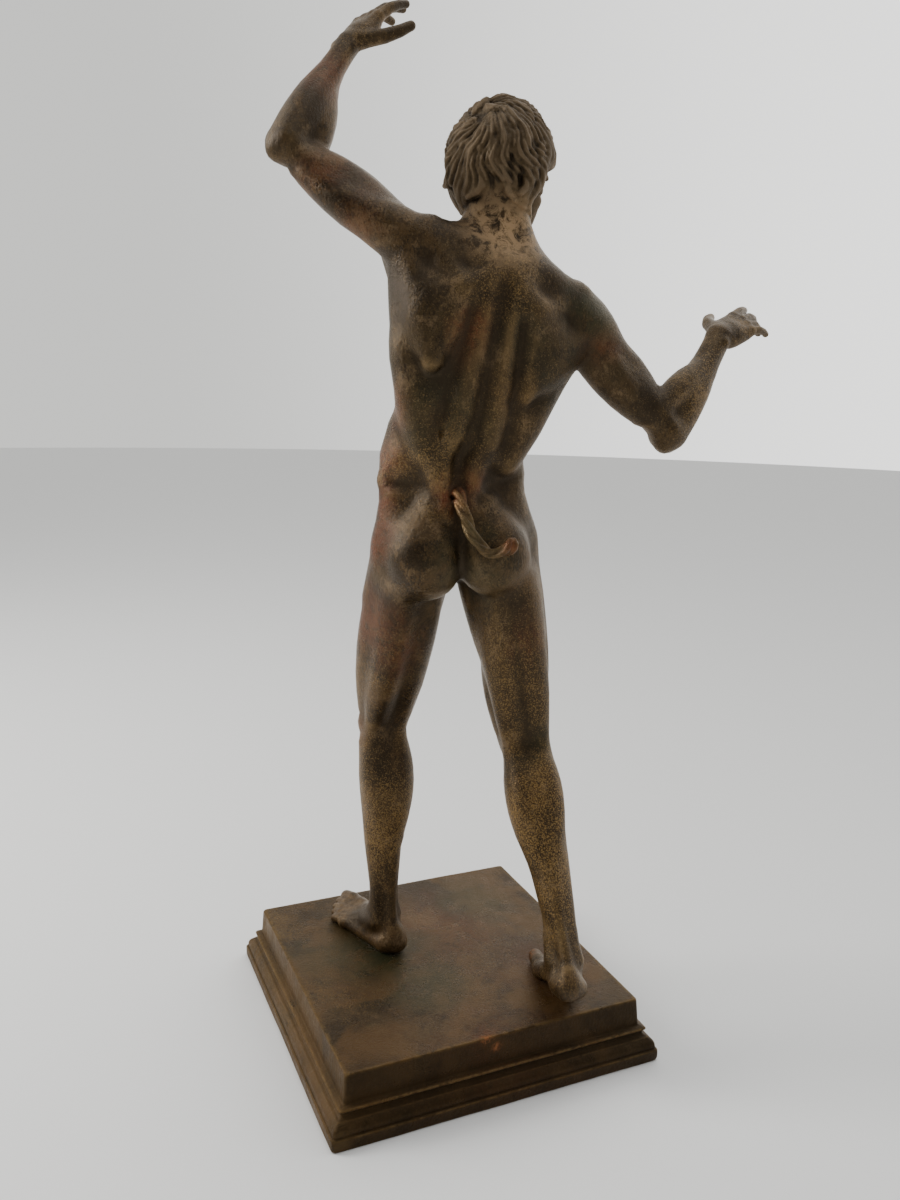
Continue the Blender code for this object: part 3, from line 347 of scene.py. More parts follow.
ANKLE = {"left": vec(56, -44, 42), "right": vec(-86, 166, 68)}
BALL = {"left": None, "right": vec(-92, 102, 12)}
FOOT_YAW = {"left": 14, "right": -20}
SHOULDER = {"left": CHEST.at(84, 2, 124), "right": CHEST.at(-94, -4, 92)}
WRIST = {"left": vec(96, -88, 1068), "right": vec(-318, 62, 772)}
ELBOW_POLE = {"left": vec(1, -0.1, -0.2), "right": vec(-0.05, 0.3, -1)}
HIP = {s: PELVIS.at(50 * k, 0, 0) for s, k in SIDES.items()}
KNEE = {
    "left": middle_joint(HIP["left"], ANKLE["left"], THIGH, SHANK, vec(0.05, -1, 0)),
    "right": middle_joint(HIP["right"], ANKLE["right"], THIGH, SHANK, vec(-0.35, -1, 0)),
}
ELBOW = {s: middle_joint(SHOULDER[s], WRIST[s], UPPER_ARM, FOREARM, ELBOW_POLE[s]) for s in SIDES}


def torso(f):
    P, C = PELVIS, CHEST
    waist = (P.at(0, 2, 130) + C.at(0, 2, -76)) / 2
    # pelvis and belly
    f.ball(P.at(0, -2, 28), (80, 53, 58), P, 20)
    f.ball(P.at(0, 4, 92), (69, 46, 58), P, 24)
    f.ball(waist, (70, 48, 56), C, 24)
    # rib cage
    f.ball(C.at(0, -2, 0), (83, 58, 112), C, 24)
    f.ball(C.at(0, -6, 64), (86, 53, 62), C, 20)
    for name, k in SIDES.items():
        p, c = mirrored(P, k), mirrored(C, k)
        raised = name == "left"
        lift = 14 if raised else 0
        root = SHOULDER[name]
        arm_at = root * 0.86 + ELBOW[name] * 0.14
        # armpit filling
        f.ball(c(66, -4, 66 + lift), (34, 40, 46), C, 20)
        # hip bones, flank
        f.spindle(p(50, 34, 50), p(72, -4, 84), (8, 11, 12), 16)
        f.ball(p(55, 4, 104), (20, 36, 25), P, 17)
        f.spindle(p(54, 6, 112), c(60, 12, -70), (18, 18, 18), 16)
        # buttock
        f.ball(p(38, -36, -4), (42, 37, 46), P, 9)
        f.spindle(p(24, -36, 44), p(60, -24, -26), (20, 32, 24), 14)
        f.spindle(p(62, -8, 62), p(66, -4, 0), (20, 25, 22), 16)
        # belly muscle in rows
        rows = [p(12, 36, 12), p(18, 37, 74),
                (p(18, 36, 116) + c(19, 38, -92)) / 2,
                c(20, 43, -62), c(20, 45, -26)]
        f.spindle(rows[0], rows[1], (12, 17, 14), 9)
        for a, b in zip(rows[1:], rows[2:]):
            f.spindle(a * 0.78 + b * 0.22, b * 0.78 + a * 0.22, (12, 15, 12), 8)
        # breast muscle
        f.ball(c(40, 37, 42 + lift / 2), (42, 23, 33), C, 9)
        f.spindle(c(48, 38, 46), root * 0.75 + ELBOW[name] * 0.25 + C.turn(0, 8, 0), (27, 23, 12),
                  12)
        f.spindle(c(16, 35, 80), c(76, 20, 98 + lift), (7, 12, 12), 18)
        # collar bone
        f.spindle(c(9, 38, 104), c(84, 10, 116 + lift), (5.5, 4.6, 6.5), 8,
                  bow=C.turn(0, 5, 2))
        # side ribs and saw muscle
        for i in range(4):
            slope = math.radians(16 + 8 * i)
            level = 2 - 21 * i
            shrink = math.sqrt(1 - (level / 112) ** 2) * 0.93
            back = slope - math.radians(30)
            a = c(83 * shrink * math.cos(slope), 58 * shrink * math.sin(slope) - 2, level - 5)
            b = c(83 * shrink * math.cos(back), 58 * shrink * math.sin(back) - 2, level + 9)
            f.spindle(a, b, (4, 7.5, 5), 9)
        # broad back muscle
        f.spindle(arm_at + C.turn(0, -6, -6), c(74, -16, 16), (15, 20, 23), 14)
        f.spindle(c(74, -16, 24), c(46, -34, -80), (22, 25, 12), 16)
        f.spindle(c(46, -34, -70), p(22, -40, 100), (12, 12, 9), 12)
        # shoulder blade: its low corner, inner edge, ridge and the muscles on it
        low = c(59 if raised else 46, -51, lift)
        high = c(37 if raised else 39, -50, 84 + lift / 2)
        f.ball(c(60 if raised else 56, -37, 46 + lift), (31, 21, 38), C, 14)
        f.spindle(low, high, (7, 7, 6), 12)
        f.spindle(high, root + C.turn(2 * k, -12, 18), (7, 9, 12), 11)
        f.spindle(low + C.turn(6 * k, 3, 18), arm_at + C.turn(0, -11, 8), (10, 15, 12), 10)
        f.spindle(low + C.turn(2 * k, 3, -2), arm_at + C.turn(0, -9, -8), (11, 15, 13), 10)
        # cowl muscle
        f.spindle(c(12, -27, 122), root + C.turn(-8 * k, -10, 20), (20, 18, 14), 15)
        f.spindle(c(14, -44, 98), c(8, -51, -34), (13, 11, 5), 12)
        f.spindle(c(12, -36, 112), high + C.turn(6 * k, 4, 0), (13, 12, 8), 16)
        # long back muscles
        f.spindle(c(17, -49, 52), c(21, -48, -58), (7, 13, 9), 8)
        f.spindle(c(19, -45, -10), p(20, -38, 104), (9, 18, 17), 10)
        f.spindle(p(20, -37, 114), p(11, -46, 46), (17, 15, 8), 11)
        # valleys beside the blade, under the broad muscle's upper edge and over the hip bone
        f.crease([c(30, -60, 66), c(37, -60, 2), c(42, -57, -40)], 7, 4)
        f.crease([low + C.turn(-12 * k, -6, -12), low + C.turn(8 * k, -6, -18),
                  c(84, -24, 22 + lift)], 7, 3)
        f.crease([c(43, -56, -46), c(39, -52, -92), p(42, -46, 92)], 9, 3.2)
        f.crease([p(40, -46, 80), p(60, -30, 82), p(78, 2, 76)], 8, 2.2)
        f.crease([p(24, -54, 62), p(25, -55, 58)], 8, 2.6)
    # middle lines, navel
    f.crease([C.at(0, 62, 88), C.at(0, 60, 22)], 5, 5)
    f.crease([C.at(0, 60, -22), (P.at(0, 56, 116) + C.at(0, 58, -92)) / 2, P.at(0, 56, 92)], 4.5, 4.5)
    f.ball(P.at(0, 51, 80), (9, 5, 10), P, 5)
    f.carve(P.at(0, 57, 80), (3.5, 8, 5), P, 4)
    f.crease([C.at(0, -62, 112), C.at(0, -64, 20), C.at(0, -60, -60),
              (C.at(0, -56, -95) + P.at(0, -54, 120)) / 2,
              P.at(0, -56, 70)], 7, 11)
    for k in (1, -1):
        p, c = mirrored(P, k), mirrored(C, k)
        # groin line and the edge of the rib arch
        f.crease([p(66, 30, 62), p(40, 46, 24), p(14, 50, -14)], 6, 3.5)
        f.crease([c(10, 62, -16), c(30, 57, -34), c(52, 46, -66)], 5, 2.5)
        f.ball(c(46, 59, 26), (3.6, 2.6, 3.6), C, 3)


def leg(f, name):
    k = SIDES[name]
    p = mirrored(PELVIS, k)
    out = PELVIS.side * k
    hip, knee, ankle = HIP[name], KNEE[name], ANKLE[name]
    yaw = math.radians(FOOT_YAW[name])
    ahead = vec(math.sin(yaw), -math.cos(yaw), 0)
    bend = unit((knee - (hip + ankle) / 2)) if np.linalg.norm(knee - (hip + ankle) / 2) > 12 else ahead
    front = unit(bend + ahead * 0.6)
    T = Bone(hip, knee, front, out)
    S = Bone(knee, ankle, front, out)
    # thigh
    f.muscles(T.at, (
        ((-0.02, 4, 0), (1, 0, 0), (44, 35, 23), 10),
        ((0.0, 8, 20), (0.9, 2, 17), (18, 26, 12), 9, T.front * 6),
        ((0.14, 26, 4), (0.88, 18, 10), (18, 23, 12), 8),
        ((0.40, -20, 12), (0.95, -18, 12), (11, 20, 13), 7),
        ((-0.02, -24, 0), (0.62, -20, -6), (28, 26, 12), 10),
        ((0.06, 12, -24), (1.03, 19, -13), (22, 23, 7), 7),
        ((0.06, -10, -24), (1.04, -17, -13), (22, 23, 7), 7),
    ))
    f.spindle(p(58, -22, -20), T.at(0.42, 26, -10), (24, 20, 10), 12)
    f.spindle(p(60, 26, 56), T.at(0.24, 27, 15), (7, 13, 12), 15)
    # knee
    f.ball(S.at(-0.03, 13, -2), (17, 17, 20), None, 6)
    f.ball(S.at(-0.03, -13, -2), (17, 17, 20), None, 6)
    f.ball(S.at(-0.03, 0, 20), (13, 9, 15), Frame(knee, S.side, S.front, S.axis), 5)
    f.spindle(S.at(0.02, 0, 20), S.at(0.13, -1, 18), (7, 7, 8), 5)
    # shank
    f.muscles(S.at, (
        ((0, 0, 0), (1.02, 1, 0), (22, 18, 14), 10),
        ((0.06, -5, 13), (0.95, -5, 5), (10, 8, 8), 9),
        ((0.08, 9, 12), (0.86, 0, 6), (10, 14, 5), 10),
        ((0.0, -13, -13), (0.56, -10, -15), (11, 24, 9), 10),
        ((0.0, 13, -13), (0.52, 10, -14), (11, 22, 8), 10),
        ((0.18, 0, -8), (0.93, 0, -9), (20, 20, 6), 12),
        ((0.08, 18, 0), (0.96, 11, -5), (10, 11, 6), 10),
        ((0.55, 0, -19), (1.05, 0, -20), (9, 5, 7.5), 8),
        ((0.90, -9, 3), (1.0, -13, 2), (8, 8, 8.5), 8),
        ((0.90, 9, -3), (1.02, 13, -4), (7.5, 7, 8), 8),
    ))
    foot(f, name, S, ahead)


def foot(f, name, S, ahead):
    k = SIDES[name]
    ankle = ANKLE[name]
    side = vec(ahead[1], -ahead[0], 0) * -k
    side = side if side @ (PELVIS.side * k) > 0 else -side
    up = vec(0, 0, 1)
    if BALL[name] is None:
        fwd, rise = ahead, up
    else:
        # a raised heel: the sole turns down until the ball of the foot is in its place
        flat_reach, flat_drop = 80.0, 30.0
        want = unit(BALL[name] - ankle)
        angle = math.atan2(-want[2], want @ ahead) - math.atan2(flat_drop, flat_reach)
        fwd = ahead * math.cos(angle) - up * math.sin(angle)
        rise = up * math.cos(angle) + ahead * math.sin(angle)

    def at(forward, out, height):
        """A point from the ankle, with height above the sole."""
        return ankle + fwd * forward + side * out + rise * (height - 42)

    # heel, arch, instep
    f.muscles(at, (
        ((-24, 0, 16), (-4, 0, 24), (16, 17, 17), 7),
        ((-26, 0, 30), (-20, 1, 14), (9, 12, 15), 6),
        ((0, 0, 38), (54, -6, 19), (17, 15, 10), 12),
    ))
    f.spindle(S.at(0.86, 0, 2), at(16, -2, 34), (12, 14, 13), 12)
    f.muscles(at, (
        ((8, 8, 28), (54, 8, 14), (14, 12, 8), 8),
        ((-16, 12, 12), (62, 20, 9), (11, 9, 8), 7),
        ((-12, -8, 16), (30, -12, 20), (12, 9, 9), 7),
        ((34, -12, 20), (78, -14, 13), (10, 10, 11), 7),
    ))
    heads = [(80, -14, 12, 11), (80, -3, 12, 8), (76, 7, 11, 8), (70, 15, 10, 7.5), (62, 22, 9, 7.5)]
    for forward, out, height, radius in heads[1:]:
        f.spindle(at(40, out * 0.5, 18), at(forward, out, height), (9, 8, radius), 5)
    lengths = [36, 33, 28, 24, 20]
    radii = [(10, 8.8), (7.6, 6.2), (7.2, 5.8), (6.8, 5.5), (6.4, 5.6)]
    for (forward, out, height, radius), length, (r0, r1) in zip(heads, lengths, radii):
        root = at(forward, out, height)
        root = vec(root[0], root[1], max(root[2], r0))
        if BALL[name] is not None:
            root[2] = r0 + 2
        spread = side * out * 0.12
        hinge = root + ahead * length * 0.5 + spread * 0.5
        hinge[2] = r0 + 3.0
        tip = root + ahead * length + spread
        tip[2] = r1
        f.chain([root, hinge, tip], [r0, (r0 + r1) / 2 + 0.2, r1], 3)


def arm(f, name):
    k = SIDES[name]
    shoulder, elbow, wrist = SHOULDER[name], ELBOW[name], WRIST[name]
    inner = unit(shoulder * 0.5 + wrist * 0.5 - elbow)
    out = np.cross(unit(elbow - shoulder), inner)
    U = Bone(shoulder, elbow, inner, out)
    F = Bone(elbow, wrist, inner, out)
    thumb = THUMB_SIDE[name]
    # upper arm
    f.spindle(U.at(0, 0, 0), U.at(1, 0, 0), (21, 19, 15), 9)
    f.ball(U.at(0.02, 0, 0), (27, 27, 27), None, 10)
    outer = DELTOID[name]
    f.spindle(shoulder + outer * 8, U.at(0.46, 0, 0) + outer * 11, (25, 25, 9), 8)
    f.spindle(shoulder + CHEST.turn(-6 * k, 12, 6), U.at(0.42, 0, 0) + outer * 11 + CHEST.front * 4,
              (18, 20, 8), 7)
    f.spindle(shoulder + CHEST.turn(-6 * k, -14, 4), U.at(0.42, 0, 0) + outer * 10 - CHEST.front * 4,
              (18, 19, 8), 7)
    f.muscles(U.at, (
        ((0.18, 0, 10), (0.92, 0, 9), (13, 19, 8), 7, U.front * 3),
        ((0.12, -4, -12), (0.78, -2, -14), (15, 20, 9), 7),
        ((0.25, 9, -8), (0.85, 6, -11), (12, 17, 8), 7),
        ((0.55, 10, 4), (0.95, 10, 3), (10, 13, 10), 7),
    ))
    # elbow
    f.ball(elbow - U.front * 9 + U.axis * 3, (11, 11, 12), None, 6)
    f.ball(U.at(0.97, 12, 0), (10, 10, 11), None, 6)
    f.ball(U.at(0.97, -12, 0), (10, 10, 11), None, 6)
    # forearm
    f.spindle(F.at(0, 0, 0), F.at(1, 0, 0), (17, 15, 11), 8)
    f.spindle(U.at(0.82, 11, 5), F.at(0.70, 4, 3), (9, 17, 5), 10)
    f.spindle(F.at(0.02, -9, 3), F.at(0.74, -3, 1), (12, 17, 5), 10)
    f.spindle(F.at(0.04, 3, -8), F.at(0.78, 2, -3), (11, 15, 6), 10)
    flat = (PALM[name], 0.72)
    f.spindle(F.at(0.66, 0, 0), F.at(1.03, 0, 0), (13, 12.5, 14.5), 10, flat=flat)
    f.ball(F.at(0.95, 0, 0) - thumb * 9 - PALM[name] * 5, (6, 6, 6), None, 4)
    hand(f, name)


def hand(f, name):
    """run is the way the fingers run, palm the way the palm faces, thumb the way to the thumb's side."""
    wrist, run, palm, thumb = WRIST[name], HAND_RUN[name], PALM[name], THUMB_SIDE[name]

    def at(along, across, depth):
        return wrist + run * along + thumb * across + palm * depth

    f.spindle(at(0, 0, 0), at(20, 0, 0), (14, 16, 17), 6, flat=(palm, 0.62))
    for across, reach in ((15, 46), (5, 49), (-5, 46), (-14, 42)):
        f.spindle(at(12, across * 0.55, 0), at(reach, across, 0), (8, 8, 7.2), 5, flat=(palm, 0.9))
    f.spindle(at(14, 14, 4), at(38, 14, 4), (8, 9, 6), 5)
    f.spindle(at(8, -11, 4), at(36, -14, 4), (8, 8, 6), 5)
    fingers = ((15, 46, (20, 13, 10), 6.0), (5, 49, (22, 15, 11), 6.2), (-5, 46, (20, 14, 11), 5.9),
               (-14.5, 42, (16, 11, 9), 5.4))
    for (across, reach, lengths, radius), curl in zip(fingers, CURL[name]):
        point = at(reach, across, 0)
        points, radii, angle = [point], [radius + 0.6], 0.0
        spread = across * SPREAD[name] / 100
        for i, (length, bend) in enumerate(zip(lengths, curl)):
            angle += math.radians(bend)
            way = (run + thumb * spread) * math.cos(angle) + palm * math.sin(angle)
            point = point + unit(way) * length
            points.append(point)
            radii.append(radius - 0.45 * (i + 1))
        f.chain(points, radii, 2.2)
    # thumb
    way = THUMB_RUN[name]
    a = at(10, 13, 3)
    b = a + unit(run * way[0] + thumb * way[1] + palm * way[2]) * 26
    c = b + unit(run * (way[0] + 0.25) + thumb * way[1] * 0.75 + palm * way[2]) * 18
    d = c + unit(run * (way[0] + 0.45) + thumb * way[1] * 0.5 + palm * way[2]) * 14
    f.chain([a, b, c, d], [9.0, 7.6, 6.6, 5.4], 4)


HAND_RUN = {"left": unit(vec(-0.62, -0.25, 0.74)), "right": unit(vec(-0.86, -0.22, 0.36))}
PALM_AIM = {"left": vec(-0.35, -0.2, -1), "right": vec(-0.25, -0.62, -0.72)}
PALM = {s: unit(aim - HAND_RUN[s] * (aim @ HAND_RUN[s])) for s, aim in PALM_AIM.items()}
THUMB_SIDE = {s: np.cross(PALM[s], HAND_RUN[s]) * k for s, k in SIDES.items()}
DELTOID = {"left": unit(vec(0.75, 0.1, 0.1) + CHEST.side * 0.3), "right": unit(vec(-0.55, 0.0, 0.85))}
# bend of each finger's three joints in degrees, from the first finger to the last
CURL = {
    "left": ((8, 14, 10), (12, 18, 12), (18, 24, 16), (22, 28, 18)),
    "right": ((6, 14, 10), (12, 20, 14), (16, 24, 16), (10, 18, 14)),
}
SPREAD = {"left": 1.0, "right": 1.4}
THUMB_RUN = {"left": (0.55, 0.8, 0.3), "right": (0.6, 0.75, 0.35)}


def neck(f):
    C, H = CHEST, HEAD
    base, skull = C.at(0, -6, 104), H.at(0, -16, -26)
    f.spindle(base, skull, (34, 26, 28), 14)
    f.spindle(C.at(0, -26, 110), H.at(0, -30, -14), (22, 18, 21), 12)
    for k in (1, -1):
        h, c = mirrored(H, k), mirrored(C, k)
        f.spindle(h(10, -32, -30), c(54, -20, 113), (11, 12, 12), 22)
        f.spindle(h(30, -14, -20), c(8, 33, 105), (8, 7.5, 6), 8)
        f.spindle(h(13, -34, -16), c(26, -26, 120), (13, 12, 17), 12)
    f.ball((base + skull) / 2 + (C.front + H.front) * 13.5, (7, 7, 9), None, 7)


def face(f):
    H = HEAD
    f.ball(H.at(0, -8, 16), (43, 53, 48), H, 8)
    f.ball(H.at(0, 16, -12), (36, 31, 46), H, 9)
    f.ball(H.at(0, 23, 27), (35, 26, 27), H, 10)
    f.ball(H.at(0, 37, -52), (12, 10, 9), H, 9)
    f.spindle(H.at(0, 45, 11), H.at(0, 58, -17), (4.4, 3.8, 5.2), 5)
    f.ball(H.at(0, 57, -18), (5.2, 5.6, 4.6), H, 4)
    f.ball(H.at(0, 42, -34), (14, 11, 12), H, 9)
    for k in (1, -1):
        h = mirrored(H, k)
        f.spindle(h(35, 0, -26), h(9, 35, -54), (9, 9, 9), 10)
        f.spindle(h(20, 39, -9), h(37, 14, -3), (8, 8, 7), 9)
        f.ball(h(19, 32, -27), (12, 12, 16), H, 10)
        f.spindle(h(5, 46, 13), h(28, 36, 12), (4.6, 5.2, 4.6), 6)
        f.carve(h(17, 51, 2.5), (9.5, 9, 7), H, 6)
        f.ball(h(16.6, 37.6, 1), (8.3, 8.3, 8.3), H, 1.5)
        f.chain([h(8, 43, 0), h(12, 46.4, 4), h(18, 46.8, 5.2), h(26, 40, 0)],
                [1.3, 1.8, 1.8, 1.4], 2)
        f.chain([h(8, 43, 0), h(13, 45.4, -3.8), h(19, 44.8, -4.4),
                 h(26, 40, 0)],
                [1.2, 1.5, 1.5, 1.2], 2)
        f.ball(h(6.2, 50, -19), (4.4, 5.4, 4.4), H, 3)
        f.carve(h(3.6, 54, -23.8), (2.2, 3.6, 2.4), H, 2)
        ear(f, k)
        horn(f, k)
    f.spindle(H.at(0, 43, 10), H.at(0, 49, -17), (4.6, 6.2, 6.4), 3)
    f.chain([H.at(-12, 45, -34.6), H.at(-5, 52, -31.6), H.at(0, 52.6, -32.8), H.at(5, 52, -31.6),
             H.at(12, 45, -34.6)],
            [1.4, 2.7, 2.4, 2.7, 1.4], 3)
    f.chain([H.at(-11, 45, -36), H.at(-4, 51, -38), H.at(4, 51, -38), H.at(11, 45, -36)],
            [1.4, 3.1, 3.1, 1.4], 3)
    f.crease([H.at(-13, 45, -34.8), H.at(-5, 54, -35), H.at(5, 54, -35), H.at(13, 45, -34.8)], 1.6, 1.8)


def ear(f, k):
    """A pointed ear, hollowed in its middle."""
    h = mirrored(HEAD, k)
    face_out = unit(HEAD.turn(k, 0.55, 0))
    f.spindle(h(41, -6, -14), h(54, -17, 20), (5, 10, 2), 3, flat=(face_out, 0.4))
    f.chain([h(42, 0, -17), h(46, -14, -14), h(54, -21, 2), h(57, -19, 22),
             h(50, -7, 10), h(44, 1, -2)], [4, 3, 2.6, 1.8, 2.4, 2.6], 2)
    f.carve(h(50, -9, 2), (3.6, 5.5, 9), HEAD, 3)


def horn(f, k):
    h = mirrored(HEAD, k)
    f.chain([h(20, 30, 48), h(23, 37, 58), h(25, 39, 67), h(25, 35, 75)],
            [7.5, 6.2, 4.6, 2.2], 2)


# Hair, leaf and tail

SKULL_CENTRE, SKULL_RADII = vec(0, -9, 17), vec(46, 56, 50.5)
LOCKS = 96
STRANDS = 4
COMB_DEPTH = 0.9
TWIST_WIDTH = 2.0
TWIST_DEPTH = 4.0


def scatter(i, salt):
    """A repeatable number from 0 to 1 that looks random."""
    wide = math.sin(i * 12.9898 + salt * 78.233) * 43758.5453
    return wide - math.floor(wide)


def lock(f, spine, normals, width, turn):
    """A lock of hair as a bundle of strands round its spine, drawn together at its tip."""
    last = len(spine) - 1
    for s in range(STRANDS):
        points, radii = [], []
        for n, (p, normal) in enumerate(zip(spine, normals)):
            t = n / last
            before, after = spine[max(n - 1, 0)], spine[min(n + 1, last)]
            across = unit(np.cross(normal, after - before))
            spread = width * (0.35 + 0.65 * math.sin(math.pi * min(1.0, 0.22 + 0.78 * t))) * (1 - t ** 5)
            angle = 2 * math.pi * s / STRANDS + turn * 1.3 * t
            sideways = across * 0.62 * math.cos(angle) + normal * 0.42 * math.sin(angle)
            points.append(p + sideways * spread)
            radii.append(0.25 * width + 0.42 * spread)
        radii[-1] = 0.22 * width
        f.chain(points, radii, 0.9)


def combed(whorl, centre, radii):
    """Fine grooves that swirl out of the whorl and run down over the locks."""
    H = HEAD
    first = unit(np.cross(whorl, vec(1, 0, 0)))
    second = np.cross(whorl, first)

    def field(x, y, z):
        shift = (x - H.origin[0], y - H.origin[1], z - H.origin[2])
        local = []
        for axis, middle, radius in zip((H.side, H.front, H.up), centre, radii):
            local.append((sum(s * np.float32(a) for s, a in zip(shift, axis)) - middle) / radius)
        size = np.sqrt(sum(c * c for c in local))
        axes = (first, second, whorl)
        a, b, c = (sum(v * np.float32(w) for v, w in zip(local, axis)) / size for axis in axes)
        around, far = np.arctan2(b, a), np.arccos(np.clip(c, -1, 1))
        flow = around - 0.8 * np.log(np.minimum(far, 1.0) + 0.06) + 0.05 * np.sin(9 * far + 3 * around)
        near = np.clip((0.95 - far) / 0.3, 0, 1)
        wave = near * np.sin(30 * flow) + (1 - near) * np.sin(52 * flow)
        front, up = local[1] / size, local[2] / size
        on_hair = np.clip((size - 0.99) / 0.06, 0, 1) * np.clip((local[2] + 0.95) / 0.2, 0, 1)
        on_hair = on_hair * np.clip(np.maximum(0.28 - front, up - 0.52) / 0.08, 0, 1)
        on_hair = on_hair * np.clip(np.maximum(-0.30 - front, up - 0.22) / 0.10, 0, 1)
        return np.float32(COMB_DEPTH) * wave * on_hair * np.clip((far - 0.02) / 0.12, 0.2, 1)

    return field


def hair(f):
    """Hair combed out of a whorl at the back of the crown into thick locks with lifted, curled tips."""
    H = HEAD
    centre, radii = SKULL_CENTRE, SKULL_RADII
    whorl = unit(vec(0.14, -0.80, 0.58))
    golden = math.pi * (3 - math.sqrt(5))
    f.ball(H.at(0, -11, 19), (46.5, 56, 51), H, 4)
    f.ball(H.at(0, -36, -12), (33, 24, 26), H, 6)
    for i in range(LOCKS):
        height = 1 - 2 * (i + 0.5) / LOCKS
        ring = math.sqrt(1 - height * height)
        d = vec(ring * math.cos(golden * i), ring * math.sin(golden * i), height)
        front, up, side = d[1], d[2], abs(d[0])
        # bare face, ears and throat
        if front > 0.34 and up < 0.52:
            continue
        if up < -0.75 or (front > -0.28 and up < 0.08 + 0.2 * max(0, front)):
            continue
        away = d - whorl * (d @ whorl)
        far = np.linalg.norm(away)
        # the whorl's own middle is left to its combed grooves
        if far < 0.12 and d @ whorl > 0:
            continue
        swirl = np.cross(whorl, away)
        comb = unit(away + 1e-6) + 0.9 * unit(swirl + 1e-6) * math.exp(-(far / 0.7) ** 2)
        comb = comb + vec(0, 0, -0.45 * (1 - max(0, up)))
        comb = unit(comb - d * (comb @ d))
        across = np.cross(d, comb)
        turn = 1 if scatter(i, 1) < 0.5 else -1
        nape = max(0.0, -front) * max(0.0, 0.30 - up)
        rim = max(0.0, 0.45 - up) * (0.4 + side)
        length = 0.46 + 0.26 * min(far, 1) + 0.24 * scatter(i, 2) + 0.75 * nape
        lift = 3 + 9 * scatter(i, 3) * min(1, far + 0.2) + 16 * nape + 11 * rim + 4 * max(0, front)
        sway = 0.08 + 0.10 * scatter(i, 4)
        width = (9.0 + 4.0 * scatter(i, 5)) * (0.72 + 0.28 * min(1, far / 0.6)) + 2.5 * rim
        start = min(0.3 * length, 0.8 * far)
        spine, normals = [], []
        for n in range(8):
            t = n / 7
            bend = sway * math.sin(0.5 + 5.0 * t) * (0.4 + t)
            hook = 0.36 * max(0.0, t - 0.58) ** 1.2 / 0.38
            along = length * t - start - 0.14 * max(0.0, t - 0.75)
            p = unit(d + comb * along + across * turn * (bend + hook) * min(1, far / 0.4))
            rise = 1.0 + (lift * t * t + 0.5) / 50
            spine.append(H.at(*(centre + p * radii * rise)))
            normals.append(unit(H.turn(*(p / radii))))
        lock(f, spine, normals, width, turn)
    reach = H.at(*centre)
    f.relief(reach - 85, reach + 85, combed(whorl, centre, radii))
    # curls that fall over the brow in two rows
    for j in range(9):
        side = (j - 4) / 4
        upper = j % 2
        turn = 1 if scatter(j, 7) < 0.5 else -1
        across = 31 * side + 3 * (scatter(j, 8) - 0.5)
        drop = 36 + 10 * upper + 6 * scatter(j, 9) - 3 * abs(side)
        out = 47.5 - 12 * side * side + 1.5 * upper
        spine = [H.at(across * 0.6, 10, 66), H.at(across * 0.82, 28, 65),
                 H.at(across + 2 * turn, 41 - 7 * side**2, 58),
                 H.at(across + 5 * turn, out, drop + 10), H.at(across + 4 * turn, out + 2.5, drop + 2),
                 H.at(across - 1 * turn, out + 3.5, drop - 1), H.at(across - 4 * turn, out + 3, drop + 4)]
        face_out = unit(H.turn(0.5 * side, 1, 0.2))
        lock(f, spine, [H.turn(0, 0.2, 1), H.turn(0, 0.5, 0.8), unit(H.turn(0, 1, 0.6))] + [face_out] * 4,
             7.6, turn)


def vine_leaf(f):
    P = PELVIS
    heart = P.at(0, 50, -8)
    flat = (unit(P.turn(0, 1, 0.1)), 0.45)
    for angle, length, width in ((0, 34, 10), (50, 29, 10), (-50, 29, 10), (108, 22, 9), (-108, 22, 9)):
        a = math.radians(angle)
        way = P.turn(math.sin(a), 0.10, -math.cos(a))
        f.spindle(heart + way * 4, heart + way * length - P.front * 3, (9, width, 2.5), 2.5, flat=flat)
    for angle, length in ((0, 32), (50, 27), (-50, 27), (108, 20), (-108, 20)):
        a = math.radians(angle)
        way = P.turn(math.sin(a), 0, -math.cos(a))
        f.crease([heart + P.turn(0, 6, 6), heart + P.turn(0, 5, 0) + way * length], 1.6, 1.5)


def smooth_line(points, steps):
    """Points on a smooth curve through the given ones."""
    points = [np.asarray(p, float) for p in points]
    ends = [2 * points[0] - points[1]] + points + [2 * points[-1] - points[-2]]
    line = []
    for a, b, c, d in zip(ends, ends[1:], ends[2:], ends[3:]):
        for n in range(steps):
            t = n / steps
            line.append(0.5 * (2 * b + (c - a) * t + (2 * a - 5 * b + 4 * c - d) * t**2
                               + (3 * b - a - 3 * c + d) * t**3))
    line.append(points[-1])
    return line


def wound(spine, n, strand):
    """At point n of the tail's spine: the share of its length, its tuft and the way out to a strand."""
    last = len(spine) - 1
    t = n / last
    way = unit(spine[min(n + 1, last)] - spine[max(n - 1, 0)])
    across = unit(np.cross(way, PELVIS.up))
    upright = np.cross(across, way)
    angle = 2 * math.pi * strand / 3 + 7.5 * t
    return t, math.exp(-((t - 0.90) / 0.09) ** 2), across * math.cos(angle) + upright * math.sin(angle)


